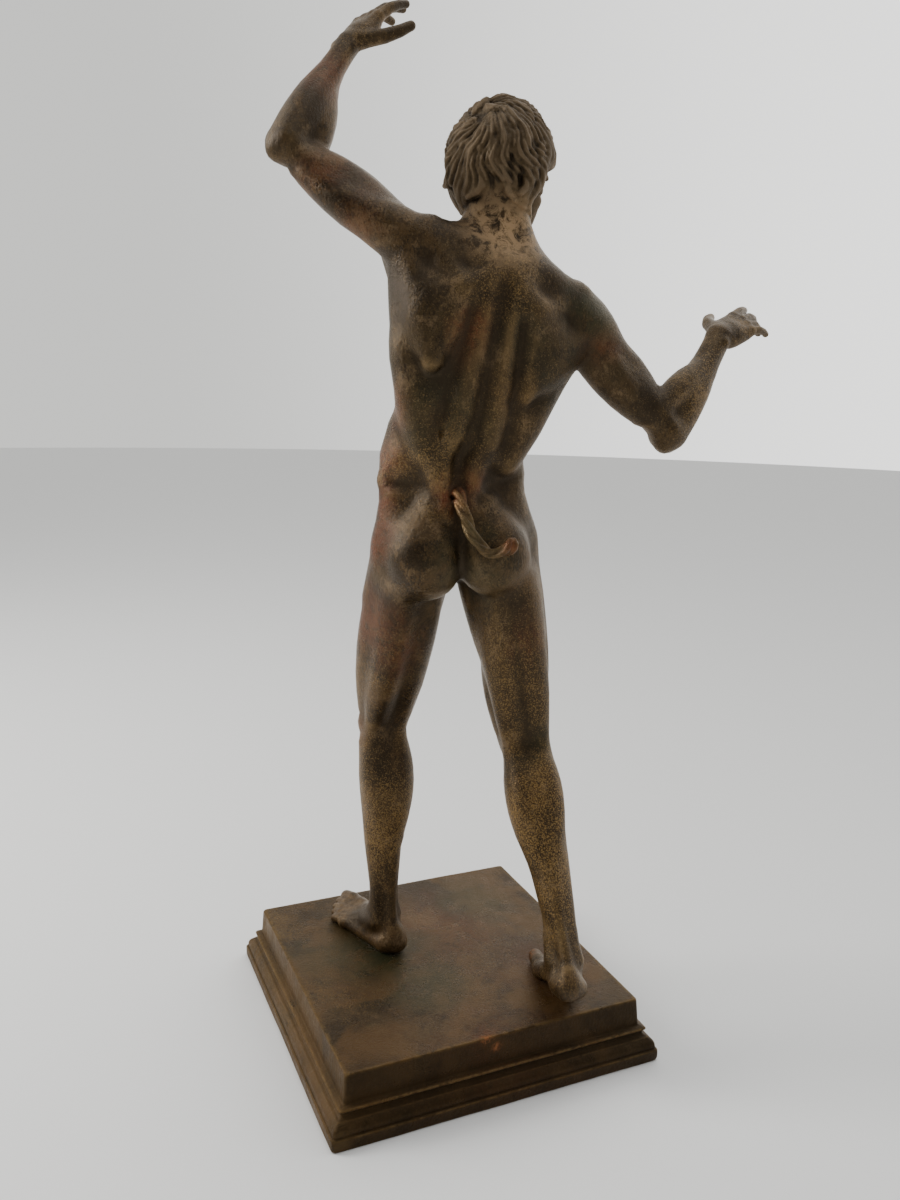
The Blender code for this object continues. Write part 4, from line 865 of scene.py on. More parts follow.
def tail(f):
    """A short tail of twisted strands that drops from the loins and curls up to one side in a tuft."""
    P = PELVIS
    f.ball(P.at(0, -45, 66), (11, 9, 12), P, 9)
    spine = smooth_line([P.at(0, -46, 70), P.at(-1, -61, 61), P.at(-5, -72, 40), P.at(-13, -80, 18),
                         P.at(-27, -87, 4), P.at(-43, -91, 6), P.at(-53, -92, 17)], 4)
    last = len(spine) - 1
    for strand in range(3):
        points, radii = [], []
        for n, p in enumerate(spine):
            t, tuft, sideways = wound(spine, n, strand)
            spread = 3.4 - 1.5 * t + 2.6 * tuft
            points.append(p + sideways * spread * (1 if n < last else 0.3))
            radii.append(5.4 - 2.2 * t + 1.2 * tuft if n < last else 2.0)
        f.chain(points, radii, 1.2)
    # grooves between the strands
    for strand in range(3):
        points = []
        for n, p in enumerate(spine[2:-1], 2):
            t, tuft, sideways = wound(spine, n, strand + 0.5)
            points.append(p + sideways * (6.6 - 2.2 * t + 3.0 * tuft))
        f.crease(points, TWIST_WIDTH, TWIST_DEPTH)


def figure():
    f = Shapes()
    torso(f)
    for name in SIDES:
        leg(f, name)
        arm(f, name)
    neck(f)
    face(f)
    hair(f)
    vine_leaf(f)
    # the cleft between the buttocks
    P = PELVIS
    f.crease([P.at(0, -64, 40), P.at(0, -72, 5), P.at(0, -58, -40)], 6, 13)
    for k in (1, -1):
        p = mirrored(P, k)
        f.crease([p(10, -54, -46), p(32, -62, -51), p(52, -54, -46)], 6, 3)
        f.crease([p(78, -26, 14), p(76, -30, -14)], 15, 4)
    tail(f)
    f.cut_below(SOLE_LEVEL)
    return f


# Noise and paint held on the points of a mesh


def cell_corners(place, smooth=False):
    """The eight grid points round each place, one for all places at a time, and their weights."""
    base = np.floor(place).astype(np.int64)
    share = place - base
    if smooth:
        share = share * share * (3 - 2 * share)
    for corner in range(8):
        offset = np.array([corner & 1, corner >> 1 & 1, corner >> 2 & 1])
        yield base + offset, np.prod(np.where(offset, share, 1 - share), axis=1)


def value_noise(points, cell, seed):
    """Smooth noise from -1 to 1 with bumps about one cell wide."""
    total = np.zeros(len(points))
    for at, weight in cell_corners(points / cell, smooth=True):
        mixed = at[:, 0] * 374761393 + at[:, 1] * 668265263 + at[:, 2] * 1442695041 + seed * 974711
        mixed = mixed & 0xFFFFFFFF
        mixed = ((mixed ^ (mixed >> 13)) * 1274126177) & 0xFFFFFFFF
        value = ((mixed ^ (mixed >> 16)) & 0xFFFF) / 32767.5 - 1
        total += value * weight
    return total


def read(mesh, field):
    """Places ("co") or directions ("normal") of the mesh's points."""
    values = np.empty(len(mesh.vertices) * 3)
    mesh.vertices.foreach_get(field, values)
    return values.reshape(-1, 3)


def write_points(mesh, points):
    mesh.vertices.foreach_set("co", points.ravel())
    mesh.update()


def neighbour_mean(values, ends, degree):
    total = np.zeros_like(values)
    np.add.at(total, ends[:, 0], values[ends[:, 1]])
    np.add.at(total, ends[:, 1], values[ends[:, 0]])
    return total / (degree if values.ndim == 1 else degree[:, None])


def bend_of_surface(mesh, rounds):
    """How hollow (above 0) or how sharp (below 0) the surface is, in 1/m."""
    points, normals = read(mesh, "co"), read(mesh, "normal")
    ends = np.empty(len(mesh.edges) * 2, dtype=np.int64)
    mesh.edges.foreach_get("vertices", ends)
    ends = ends.reshape(-1, 2)
    degree = np.bincount(ends.ravel(), minlength=len(points)).astype(float)
    degree[degree == 0] = 1
    run = np.linalg.norm(points[ends[:, 0]] - points[ends[:, 1]], axis=1) ** 2
    spread = np.bincount(ends.ravel(), weights=np.repeat(run, 2), minlength=len(points)) / degree
    lift = ((neighbour_mean(points, ends, degree) - points) * normals).sum(1)
    bend = 2 * lift / np.maximum(spread, 1e-9)
    for _ in range(rounds):
        bend = 0.5 * bend + 0.5 * neighbour_mean(bend, ends, degree)
    return bend


def solid_shares(local, reaches):
    """Shares of solid round each point, about 0.5 on a flat place, more in a hollow, less on a ridge."""
    margin = 4 + 3 * round(max(reaches) / SHARE_STEP)
    low = np.floor(local.min(0) / SHARE_STEP).astype(int) - margin
    high = np.ceil(local.max(0) / SHARE_STEP).astype(int) + margin
    values = np.empty(tuple(high - low), np.float32)
    grid_of(figure(), SHARE_STEP).copyToArray(values, ijk=tuple(int(n) for n in low))
    solid = np.clip(0.5 - values / SHARE_STEP, 0, 1)
    shares = []
    for reach in reaches:
        wide = round(reach / SHARE_STEP)
        share = solid
        for axis in (0, 1, 2) * 3:
            total = np.cumsum(share, axis=axis, dtype=np.float64)
            share = (np.roll(total, -wide, axis) - np.roll(total, wide + 1, axis)) / (2 * wide + 1)
        found = np.zeros(len(local))
        for at, weight in cell_corners(local / SHARE_STEP - low):
            found += weight * share[at[:, 0], at[:, 1], at[:, 2]]
        shares.append(found)
    return shares


def set_layer(mesh, name, values):
    layer = mesh.attributes.new(name, "FLOAT", "POINT")
    layer.data.foreach_set("value", np.clip(values, 0, 1).astype(np.float32))


def blobs(points, spots, seed):
    """Soft patches with ragged edges. A spot is its place, its reach and its strength."""
    ragged = value_noise(points, 0.022, seed) * 0.35 + value_noise(points, 0.009, seed + 1) * 0.2
    total = np.zeros(len(points))
    for place, reach, strength in spots:
        far = np.linalg.norm(points - np.array(place), axis=1) / reach
        total = np.maximum(total, strength * np.clip(1.35 - far + ragged, 0, 1))
    return total


def in_metres(points):
    """Places in the figure's units, set on the plinth in metres."""
    points = points * UNIT
    points[..., 2] += UNITS_START
    return points


# The fine figure


def linked(name, data):
    """A new object of the scene with this data."""
    thing = bpy.data.objects.new(name, data)
    bpy.context.scene.collection.objects.link(thing)
    return thing


def fine_figure():
    points, quads = one_skin(*grid_of(figure(), FINE_STEP).convertToQuads(isovalue=0.0))
    places = points.astype(np.float64)
    mesh = bpy.data.meshes.new("faun_skin")
    mesh.from_pydata(in_metres(places).tolist(), [], quads.tolist())
    thing = linked("faun_skin", mesh)
    group = thing.vertex_groups.new(name="detail")
    spots = [(HEAD.at(0, 0, 10), 100, 0.5)]
    spots += [(WRIST[name] + HAND_RUN[name] * 45, 62, 0.4) for name in SIDES]
    spots += [(ANKLE[name] - vec(0, 50, 25), 75, 0.3) for name in SIDES]
    spots += [(PELVIS.at(-27, -80, 34), 58, 0.45)]
    weights = np.zeros(len(places))
    for centre, reach, weight in spots:
        near = np.linalg.norm(places - centre, axis=1) < reach
        weights[near] = np.maximum(weights[near], weight)
    for value in np.unique(weights):
        group.add(np.nonzero(weights == value)[0].tolist(), float(value), "REPLACE")
    thin = thing.modifiers.new("facets", "DECIMATE")
    thin.use_collapse_triangulate = True
    thin.vertex_group = "detail"
    thin.invert_vertex_group = True
    thin.vertex_group_factor = 0.01
    thin.ratio = FINE_TRIANGLES / (2 * len(quads))
    settled = thing.evaluated_get(bpy.context.evaluated_depsgraph_get())
    skin = bpy.data.meshes.new_from_object(settled)
    thing.modifiers.clear()
    thing.vertex_groups.clear()
    thing.data = skin
    bpy.data.meshes.remove(mesh)
    return thing


def hand_finish(mesh):
    """The slight waves and dents of a casting that was worked by hand."""
    points, normals = read(mesh, "co"), read(mesh, "normal")
    rise = 0.00022 * value_noise(points, 0.016, 3) + 0.00014 * value_noise(points, 0.007, 4)
    rise += 0.00007 * value_noise(points, 0.0032, 5)
    points += normals * rise[:, None]
    points[:, 2] = np.maximum(points[:, 2], PLINTH_HEIGHT + SEAT_GAP)
    write_points(mesh, points)


def paint_figure(mesh):
    points = read(mesh, "co")
    local = points.copy()
    local[:, 2] -= UNITS_START
    local *= 1000 / FIGURE_HEIGHT
    fine = bend_of_surface(mesh, 3)
    near, wide = solid_shares(local, (6, 15))
    # how sunk each point is, for patina and painted shade in the hollows, and how raised, for wear and
    # painted highlight on the ridges
    sunk = 0.6 * np.clip((near - 0.49) / 0.10, 0, 1) + 0.5 * np.clip((wide - 0.46) / 0.12, 0, 1)
    set_layer(mesh, "hollow", sunk + 0.35 * np.clip(fine / 260, -1, 1))
    raised = np.clip(((0.5 - near) - 0.45 * (0.5 - wide) - 0.02) / 0.06, 0, 1)
    stout = 0.2 + 0.8 * np.clip((wide - 0.10) / 0.14, 0, 1) * np.clip((local[:, 2] - 30) / 40, 0.2, 1)
    set_layer(mesh, "ridge", raised * stout + 0.5 * np.clip((-fine - 110) / 420, 0, 1))
    skull = (local - HEAD.origin) @ np.array([HEAD.side, HEAD.front, HEAD.up]).T
    shell = np.linalg.norm((skull - SKULL_CENTRE) / SKULL_RADII, axis=1)
    behind = (skull[:, 1] < 18) | (skull[:, 2] > 38)
    hair_mask = np.clip((shell - 0.97) / 0.05, 0, 1) * behind * (skull[:, 2] > -50) * (shell < 1.6)
    set_layer(mesh, "hair", hair_mask)
    P, C = PELVIS, CHEST
    nape = (HEAD.at(0, -30, -44) + C.at(0, -30, 122)) / 2
    set_layer(mesh, "dust", 1.25 - np.linalg.norm((local - nape) / 46, axis=1))

    def figure_blobs(name, spots, seed):
        spots = [(in_metres(place), reach, strength) for place, reach, strength in spots]
        set_layer(mesh, name, blobs(points, spots, seed))

    # spots of patina, each with its place, its reach in metres and its strength
    polish = [
        (ANKLE["right"] * 0.5 + BALL["right"] * 0.5, 0.040, 1.0),
        (P.at(70, -10, 60), 0.050, 0.8),
        (C.at(80, -20, 20), 0.055, 1.0),
        (P.at(50, -50, 10), 0.060, 0.8),
        (SHOULDER["left"] * 0.6 + ELBOW["left"] * 0.4, 0.050, 0.7),
        (HIP["left"] * 0.5 + KNEE["left"] * 0.5, 0.060, 0.6),
        (ELBOW["right"], 0.030, 0.5),
    ]
    figure_blobs("polish", polish, 47)
    rust = [
        (P.at(76, -2, 60), 0.022, 1.0), (P.at(80, -4, 20), 0.024, 1.0),
        (P.at(70, -6, 108), 0.018, 0.9), (C.at(30, -56, 52), 0.014, 0.8),
        (C.at(34, -58, 34), 0.010, 0.7), (C.at(84, -10, -40), 0.018, 0.7),
        (SHOULDER["left"] * 0.6 + ELBOW["left"] * 0.4 - vec(0, 0, 8), 0.020, 0.8),
        (SHOULDER["left"] * 0.3 + ELBOW["left"] * 0.7, 0.016, 0.7),
        (ELBOW["left"] * 0.4 + WRIST["left"] * 0.6, 0.022, 0.6),
        (SHOULDER["right"] * 0.75 + ELBOW["right"] * 0.25, 0.016, 0.9),
        (HIP["left"] * 0.5 + KNEE["left"] * 0.5 + vec(6, 34, 0), 0.018, 0.9),
        (HIP["left"] * 0.7 + KNEE["left"] * 0.3 + vec(40, 4, 0), 0.026, 0.8),
        (HIP["right"] * 0.6 + KNEE["right"] * 0.4 + vec(0, 36, 0), 0.016, 0.6),
        (P.at(0, -56, 64), 0.014, 1.0), (P.at(-16, -50, 80), 0.012, 0.8),
        (P.at(-48, -91, 10), 0.009, 0.8), (C.at(28, -58, 60), 0.012, 1.0),
        (C.at(-30, 44, 30), 0.018, 0.4), (P.at(-40, 40, 40), 0.018, 0.4),
        (KNEE["left"] + vec(20, -10, 0), 0.016, 0.5),
    ]
    figure_blobs("rust", rust, 11)
    green = [
        (SHOULDER["right"] + vec(-10, 20, 0), 0.024, 0.9),
        (C.at(-80, -20, 30), 0.026, 0.6),
        (C.at(30, -52, -40), 0.030, 0.5), (P.at(0, -50, -20), 0.030, 0.7),
        (KNEE["right"] + vec(0, 20, 0), 0.022, 0.6), (HEAD.at(-30, -30, -40), 0.018, 0.8),
        (C.at(60, 40, 10), 0.030, 0.5), (P.at(-12, -77, 26), 0.016, 0.8),
        (P.at(-34, -90, 4), 0.008, 0.6), (C.at(-34, -50, 60), 0.022, 0.5),
    ]
    figure_blobs("green", green, 23)
    ochre = [
        (KNEE["left"] * 0.5 + ANKLE["left"] * 0.5, 0.085, 1.0),
        (KNEE["right"] * 0.5 + ANKLE["right"] * 0.5, 0.095, 1.0),
        (HIP["right"] * 0.4 + KNEE["right"] * 0.6, 0.070, 0.8),
        (HIP["left"] * 0.4 + KNEE["left"] * 0.6, 0.060, 0.6),
        (P.at(20, -40, 90), 0.050, 0.8),
        (ELBOW["right"] * 0.5 + WRIST["right"] * 0.5, 0.060, 0.8),
        (WRIST["right"] + vec(-30, 0, 20), 0.040, 0.6),
        (C.at(0, -50, 100), 0.040, 0.7),
        (C.at(-30, -50, -10), 0.045, 0.5), (WRIST["left"], 0.035, 0.5),
    ]
    figure_blobs("ochre", ochre, 31)
    bright = [(BALL["right"] + vec(0, -40, 0), 0.009, 0.8),
              (P.at(-48, -92, 12), 0.004, 0.45)]
    figure_blobs("bright", bright, 41)


# The worn plinth


def plinth_profile():
    """Height and half width of the plinth's outline, from its underside up, with rounded edges."""
    base = PLINTH_BASE_SIDE / 2
    top = PLINTH_TOP_SIDE / 2
    slab_foot = top + SLAB_DRAFT
    shelf = base - slab_foot
    plate = PLATE_HEIGHT
    neck = PLATE_HEIGHT + MOULDING_HEIGHT
    swell_top = plate + MOULDING_HEIGHT * 0.52
    hollow_top = plate + MOULDING_HEIGHT * 0.84
    points = edge_arc(EDGE_ROUND, base - EDGE_ROUND, -90, 0)
    points += [(plate * n / 4, base) for n in (1, 2, 3)]
    points += edge_arc(plate - EDGE_ROUND, base - EDGE_ROUND, 0, 90)
    points += arc((plate + 0.0002, base - shelf * 0.14), (swell_top, base - shelf * 0.50), shelf * 0.15, 14)
    points += arc((swell_top + 0.0002, base - shelf * 0.60), (hollow_top, base - shelf * 0.66),
                  -shelf * 0.15, 9)
    points += arc((hollow_top + 0.0002, base - shelf * 0.62), (neck, base - shelf * 0.88), shelf * 0.12, 8)
    span = PLINTH_HEIGHT - EDGE_ROUND - neck
    points += [(neck + 0.0003 + span * n / 14, slab_foot - SLAB_DRAFT * n / 14) for n in range(14)]
    points += edge_arc(PLINTH_HEIGHT - EDGE_ROUND, top - EDGE_ROUND, 0, 90)
    return points


def edge_arc(height, half, start, end, steps=5):
    angles = [math.radians(start + (end - start) * n / steps) for n in range(steps + 1)]
    return [(height + EDGE_ROUND * math.sin(a), half + EDGE_ROUND * math.cos(a)) for a in angles]


def arc(start, end, bulge, steps):
    """Points from start to end. bulge above 0 swells outwards, below 0 hollows."""
    points = []
    for n in range(steps + 1):
        t = n / steps
        swell = bulge * math.sin(math.pi * t)
        points.append((start[0] + (end[0] - start[0]) * t, start[1] + (end[1] - start[1]) * t + swell))
    return points


def ring(half, radius, height):
    """A square with rounded corners and many points along its sides."""
    points = []
    for side in range(4):
        turn = math.radians(90 * side)
        cos, sin = math.cos(turn), math.sin(turn)
        run = half - radius
        flat = [(half, -run + 2 * run * n / SIDE_POINTS) for n in range(SIDE_POINTS)]
        bend = [math.radians(90 * n / 5) for n in range(5)]
        flat += [(run + radius * math.cos(a), run + radius * math.sin(a)) for a in bend]
        points += [(x * cos - y * sin, x * sin + y * cos, height) for x, y in flat]
    return points


def fine_plinth():
    levels = [(height, half, CORNER_RADIUS) for height, half in plinth_profile()]
    edge = PLINTH_TOP_SIDE / 2 - EDGE_ROUND
    levels += [(PLINTH_HEIGHT, edge * (1 - n / 46), CORNER_RADIUS * (1 - n / 46)) for n in range(1, 46)]
    rings = [ring(half, radius, height) for height, half, radius in levels]
    count = len(rings[0])
    points = [p for one in rings for p in one]
    faces = [tuple(reversed(range(count)))]
    for level in range(len(rings) - 1):
        low = level * count
        for n in range(count):
            after = (n + 1) % count
            faces.append((low + n, low + after, low + count + after, low + count + n))
    points.append((0, 0, PLINTH_HEIGHT))
    last = (len(rings) - 1) * count
    faces += [(last + n, last + (n + 1) % count, len(points) - 1) for n in range(count)]
    mesh = bpy.data.meshes.new("plinth_skin")
    mesh.from_pydata(points, [], faces)
    mesh.update()
    return linked("plinth_skin", mesh)


def wear_plinth(mesh):
    """Slightly wavy faces, knocked edges and small dents."""
    points, normals = read(mesh, "co"), read(mesh, "normal")
    rise = 0.00025 * value_noise(points, 0.045, 6) + 0.00008 * value_noise(points, 0.014, 7)
    rise += 0.00004 * value_noise(points, 0.005, 8)
    sharp = np.clip(-bend_of_surface(mesh, 2) / 400, 0, 1)
    knocks = np.clip(value_noise(points, 0.017, 9) - 0.15, 0, 1)
    knocks = knocks + np.clip(value_noise(points, 0.006, 10) - 0.3, 0, 1)
    rise -= sharp * (0.00025 + 0.0011 * knocks)
    on_top = normals[:, 2] > 0.9
    rise[on_top] *= 0.55
    rise = np.minimum(rise, 0.00022)
    points += normals * rise[:, None]
    points[:, 2] = np.clip(points[:, 2], 0, PLINTH_HEIGHT)
    write_points(mesh, points)


def profile_bend():
    """How hollow (above 0) or how sharp (below 0) the plinth's outline is, for each of its points."""
    line = np.array([(half, height) for height, half in plinth_profile()])
    way = np.gradient(line, axis=0)
    length = np.linalg.norm(way, axis=1)
    outward = np.stack([way[:, 1], -way[:, 0]], axis=1) / length[:, None]
    gap = np.linalg.norm(line[:, None] - line[None], axis=2)
    weight = np.exp(-(gap / BEND_REACH) ** 2) * length[None]
    mean = (weight[:, :, None] * line[None]).sum(1) / weight.sum(1)[:, None]
    return ((mean - line) * outward).sum(1) / BEND_REACH


def paint_plinth(mesh):
    points = read(mesh, "co")
    fine = bend_of_surface(mesh, 2)
    bend = np.zeros(len(points))
    along = np.repeat(profile_bend(), 4 * (SIDE_POINTS + 5))
    bend[:len(along)] = along
    # sunk places of the mouldings, for patina and painted shade in them, and their edges, for wear and
    # painted highlight
    hollow = np.clip(fine / 300, 0, 1) + np.clip(bend / 0.16, 0, 1)
    ridge = np.clip((-fine - 60) / 300, 0, 1) + np.clip((-bend - 0.05) / 0.16, 0, 1)
    set_layer(mesh, "hollow", hollow)
    set_layer(mesh, "ridge", ridge)
    top = PLINTH_TOP_SIDE / 2
    level = PLINTH_HEIGHT
    patches = {
        "green": (51, [((0.055, -0.02, level), 0.045, 1.0), ((0.03, 0.04, level), 0.030, 0.6),
                       ((-0.06, -0.07, level), 0.035, 0.6)]),
        "rust": (53, [((0.012, top, level - 0.006), 0.020, 0.9), ((-0.02, -0.03, level), 0.055, 0.7),
                      ((-0.07, 0.05, level), 0.040, 0.6), ((0.0, top, 0.02), 0.050, 0.5)]),
        "bright": (57, [((0.012, top, level), 0.0045, 0.9), ((0.004, top, 0.040), 0.003, 0.8)]),
        "ochre": (59, [((top, 0.0, 0.03), 0.090, 0.8), ((top, -0.09, 0.03), 0.060, 0.8),
                       ((0.0, 0.0, level), 0.100, 0.6)]),
        "polish": (61, [((0.0, 0.0, level), 0.16, 0.4)]),
    }
    for name, (seed, spots) in patches.items():
        set_layer(mesh, name, blobs(points, spots, seed))
    # two outer sides, from just inside the top's edge outwards: worn runs on the +X side, and painted shade
    # on the +Y side, kept off the mouldings' ridges
    set_layer(mesh, "worn", (points[:, 0] - top) / SIDE_FADE + 1)
    near_side = np.clip((points[:, 1] - top) / SIDE_FADE + 1, 0, 1)
    set_layer(mesh, "painted_shade_near_side", near_side * (1 - np.clip(ridge, 0, 1)))


# Materials


class Graph:
    """Short names for building a node tree. place is the kind of coordinates that its noises use."""

    def __init__(self, tree, place):
        self.tree = tree
        self.place = self.add("ShaderNodeTexCoord").outputs[place]

    def add(self, kind, **settings):
        made = self.tree.nodes.new(kind)
        for key, value in settings.items():
            setattr(made, key, value)
        return made

    def feed(self, socket, value):
        if hasattr(value, "is_output"):
            self.tree.links.new(value, socket)
        else:
            socket.default_value = value

    def fill(self, node, values):
        for key, value in values.items():
            self.feed(node.inputs[key], value)

    def math(self, operation, a, b=0.0, clamp=False):
        made = self.add("ShaderNodeMath", operation=operation, use_clamp=clamp)
        self.feed(made.inputs[0], a)
        self.feed(made.inputs[1], b)
        return made.outputs[0]

    def times(self, a, b):
        return self.math("MULTIPLY", a, b, clamp=True)

    def scaled(self, value, share):
        return self.math("MULTIPLY", value, share)

    def plus(self, value, more, share):
        return self.math("ADD", value, self.scaled(more, share))

    def mapped(self, socket, value):
        made = self.add("ShaderNodeMapping")
        self.fill(made, {"Vector": self.place, socket: value})
        return made.outputs[0]

    def shifted(self, amount):
        return self.mapped("Location", (amount, amount * 0.7, -amount))

    def stretched(self, scale):
        return self.mapped("Scale", scale)

    def layer(self, name):
        return self.add("ShaderNodeAttribute", attribute_name=name).outputs["Fac"]

    def noise(self, scale, detail=4.0, rough=0.55, place=None, warp=0.0):
        made = self.add("ShaderNodeTexNoise")
        self.fill(made, {"Vector": self.place if place is None else place, "Scale": scale,
                         "Detail": detail, "Roughness": rough, "Distortion": warp})
        return made.outputs["Fac"]

    def cells(self, scale):
        made = self.add("ShaderNodeTexVoronoi", feature="F1")
        self.fill(made, {"Vector": self.place, "Scale": scale})
        return made.outputs["Distance"]

    def span(self, value, low, high, to_low=0.0, to_high=1.0, rise="SMOOTHSTEP"):
        """Value drawn out from to_low, at low, to to_high, at high, in a smooth rise."""
        made = self.add("ShaderNodeMapRange", clamp=True, interpolation_type=rise)
        self.fill(made, {"Value": value, "From Min": low, "From Max": high, "To Min": to_low,
                         "To Max": to_high})
        return made.outputs[0]

    def spread(self, value, low, high):
        """Value drawn out in a straight line, from 0 at low to 1 at high."""
        return self.span(value, low, high, rise="LINEAR")

    def blend(self, share, a, b):
        made = self.add("ShaderNodeMix", data_type="RGBA")
        self.fill(made, {"Factor": share, 6: a, 7: b})
        return made.outputs[2]

    def over(self, colour, share, strength, top):
        """The colour top laid over colour, as strongly as share times strength."""
        return self.blend(self.scaled(share, strength), colour, top)

    def bump(self, height, distance, strength, before=None):
        made = self.add("ShaderNodeBump")
        self.fill(made, {"Height": height, "Distance": distance, "Strength": strength})
        if before is not None:
            self.feed(made.inputs["Normal"], before)
        return made.outputs[0]


DARK = (0.0075, 0.0034, 0.0006, 1)
OLIVE = (0.036, 0.0220, 0.0075, 1)
BROWN = (0.070, 0.038, 0.0135, 1)
LIGHT_BROWN = (0.150, 0.098, 0.050, 1)
RUST = (0.140, 0.034, 0.012, 1)
VERDIGRIS = (0.0120, 0.0200, 0.0085, 1)
TAN = (0.210, 0.145, 0.072, 1)
OCHRE = (0.340, 0.190, 0.050, 1)
DUST = (0.520, 0.345, 0.185, 1)
HAIR_DARK = (0.0060, 0.0036, 0.0014, 1)
HAIR_LIGHT = (0.115, 0.080, 0.046, 1)
COPPER = (0.33, 0.125, 0.055, 1)
# colour of the ridges: wear and painted highlight
RIDGE_WEAR_AND_HIGHLIGHT = (0.240, 0.155, 0.068, 1)
WORN_SIDE = (0.070, 0.043, 0.018, 1)
STAIN = (0.078, 0.040, 0.0135, 1)
WARM_SHEEN = (1.0, 0.79, 0.56, 1)
BROWN_SHEEN = (1.0, 0.72, 0.42, 1)


def new_material(name):
    material = bpy.data.materials.new(name)
    material.use_nodes = True
    return material, material.node_tree.nodes["Principled BSDF"].inputs


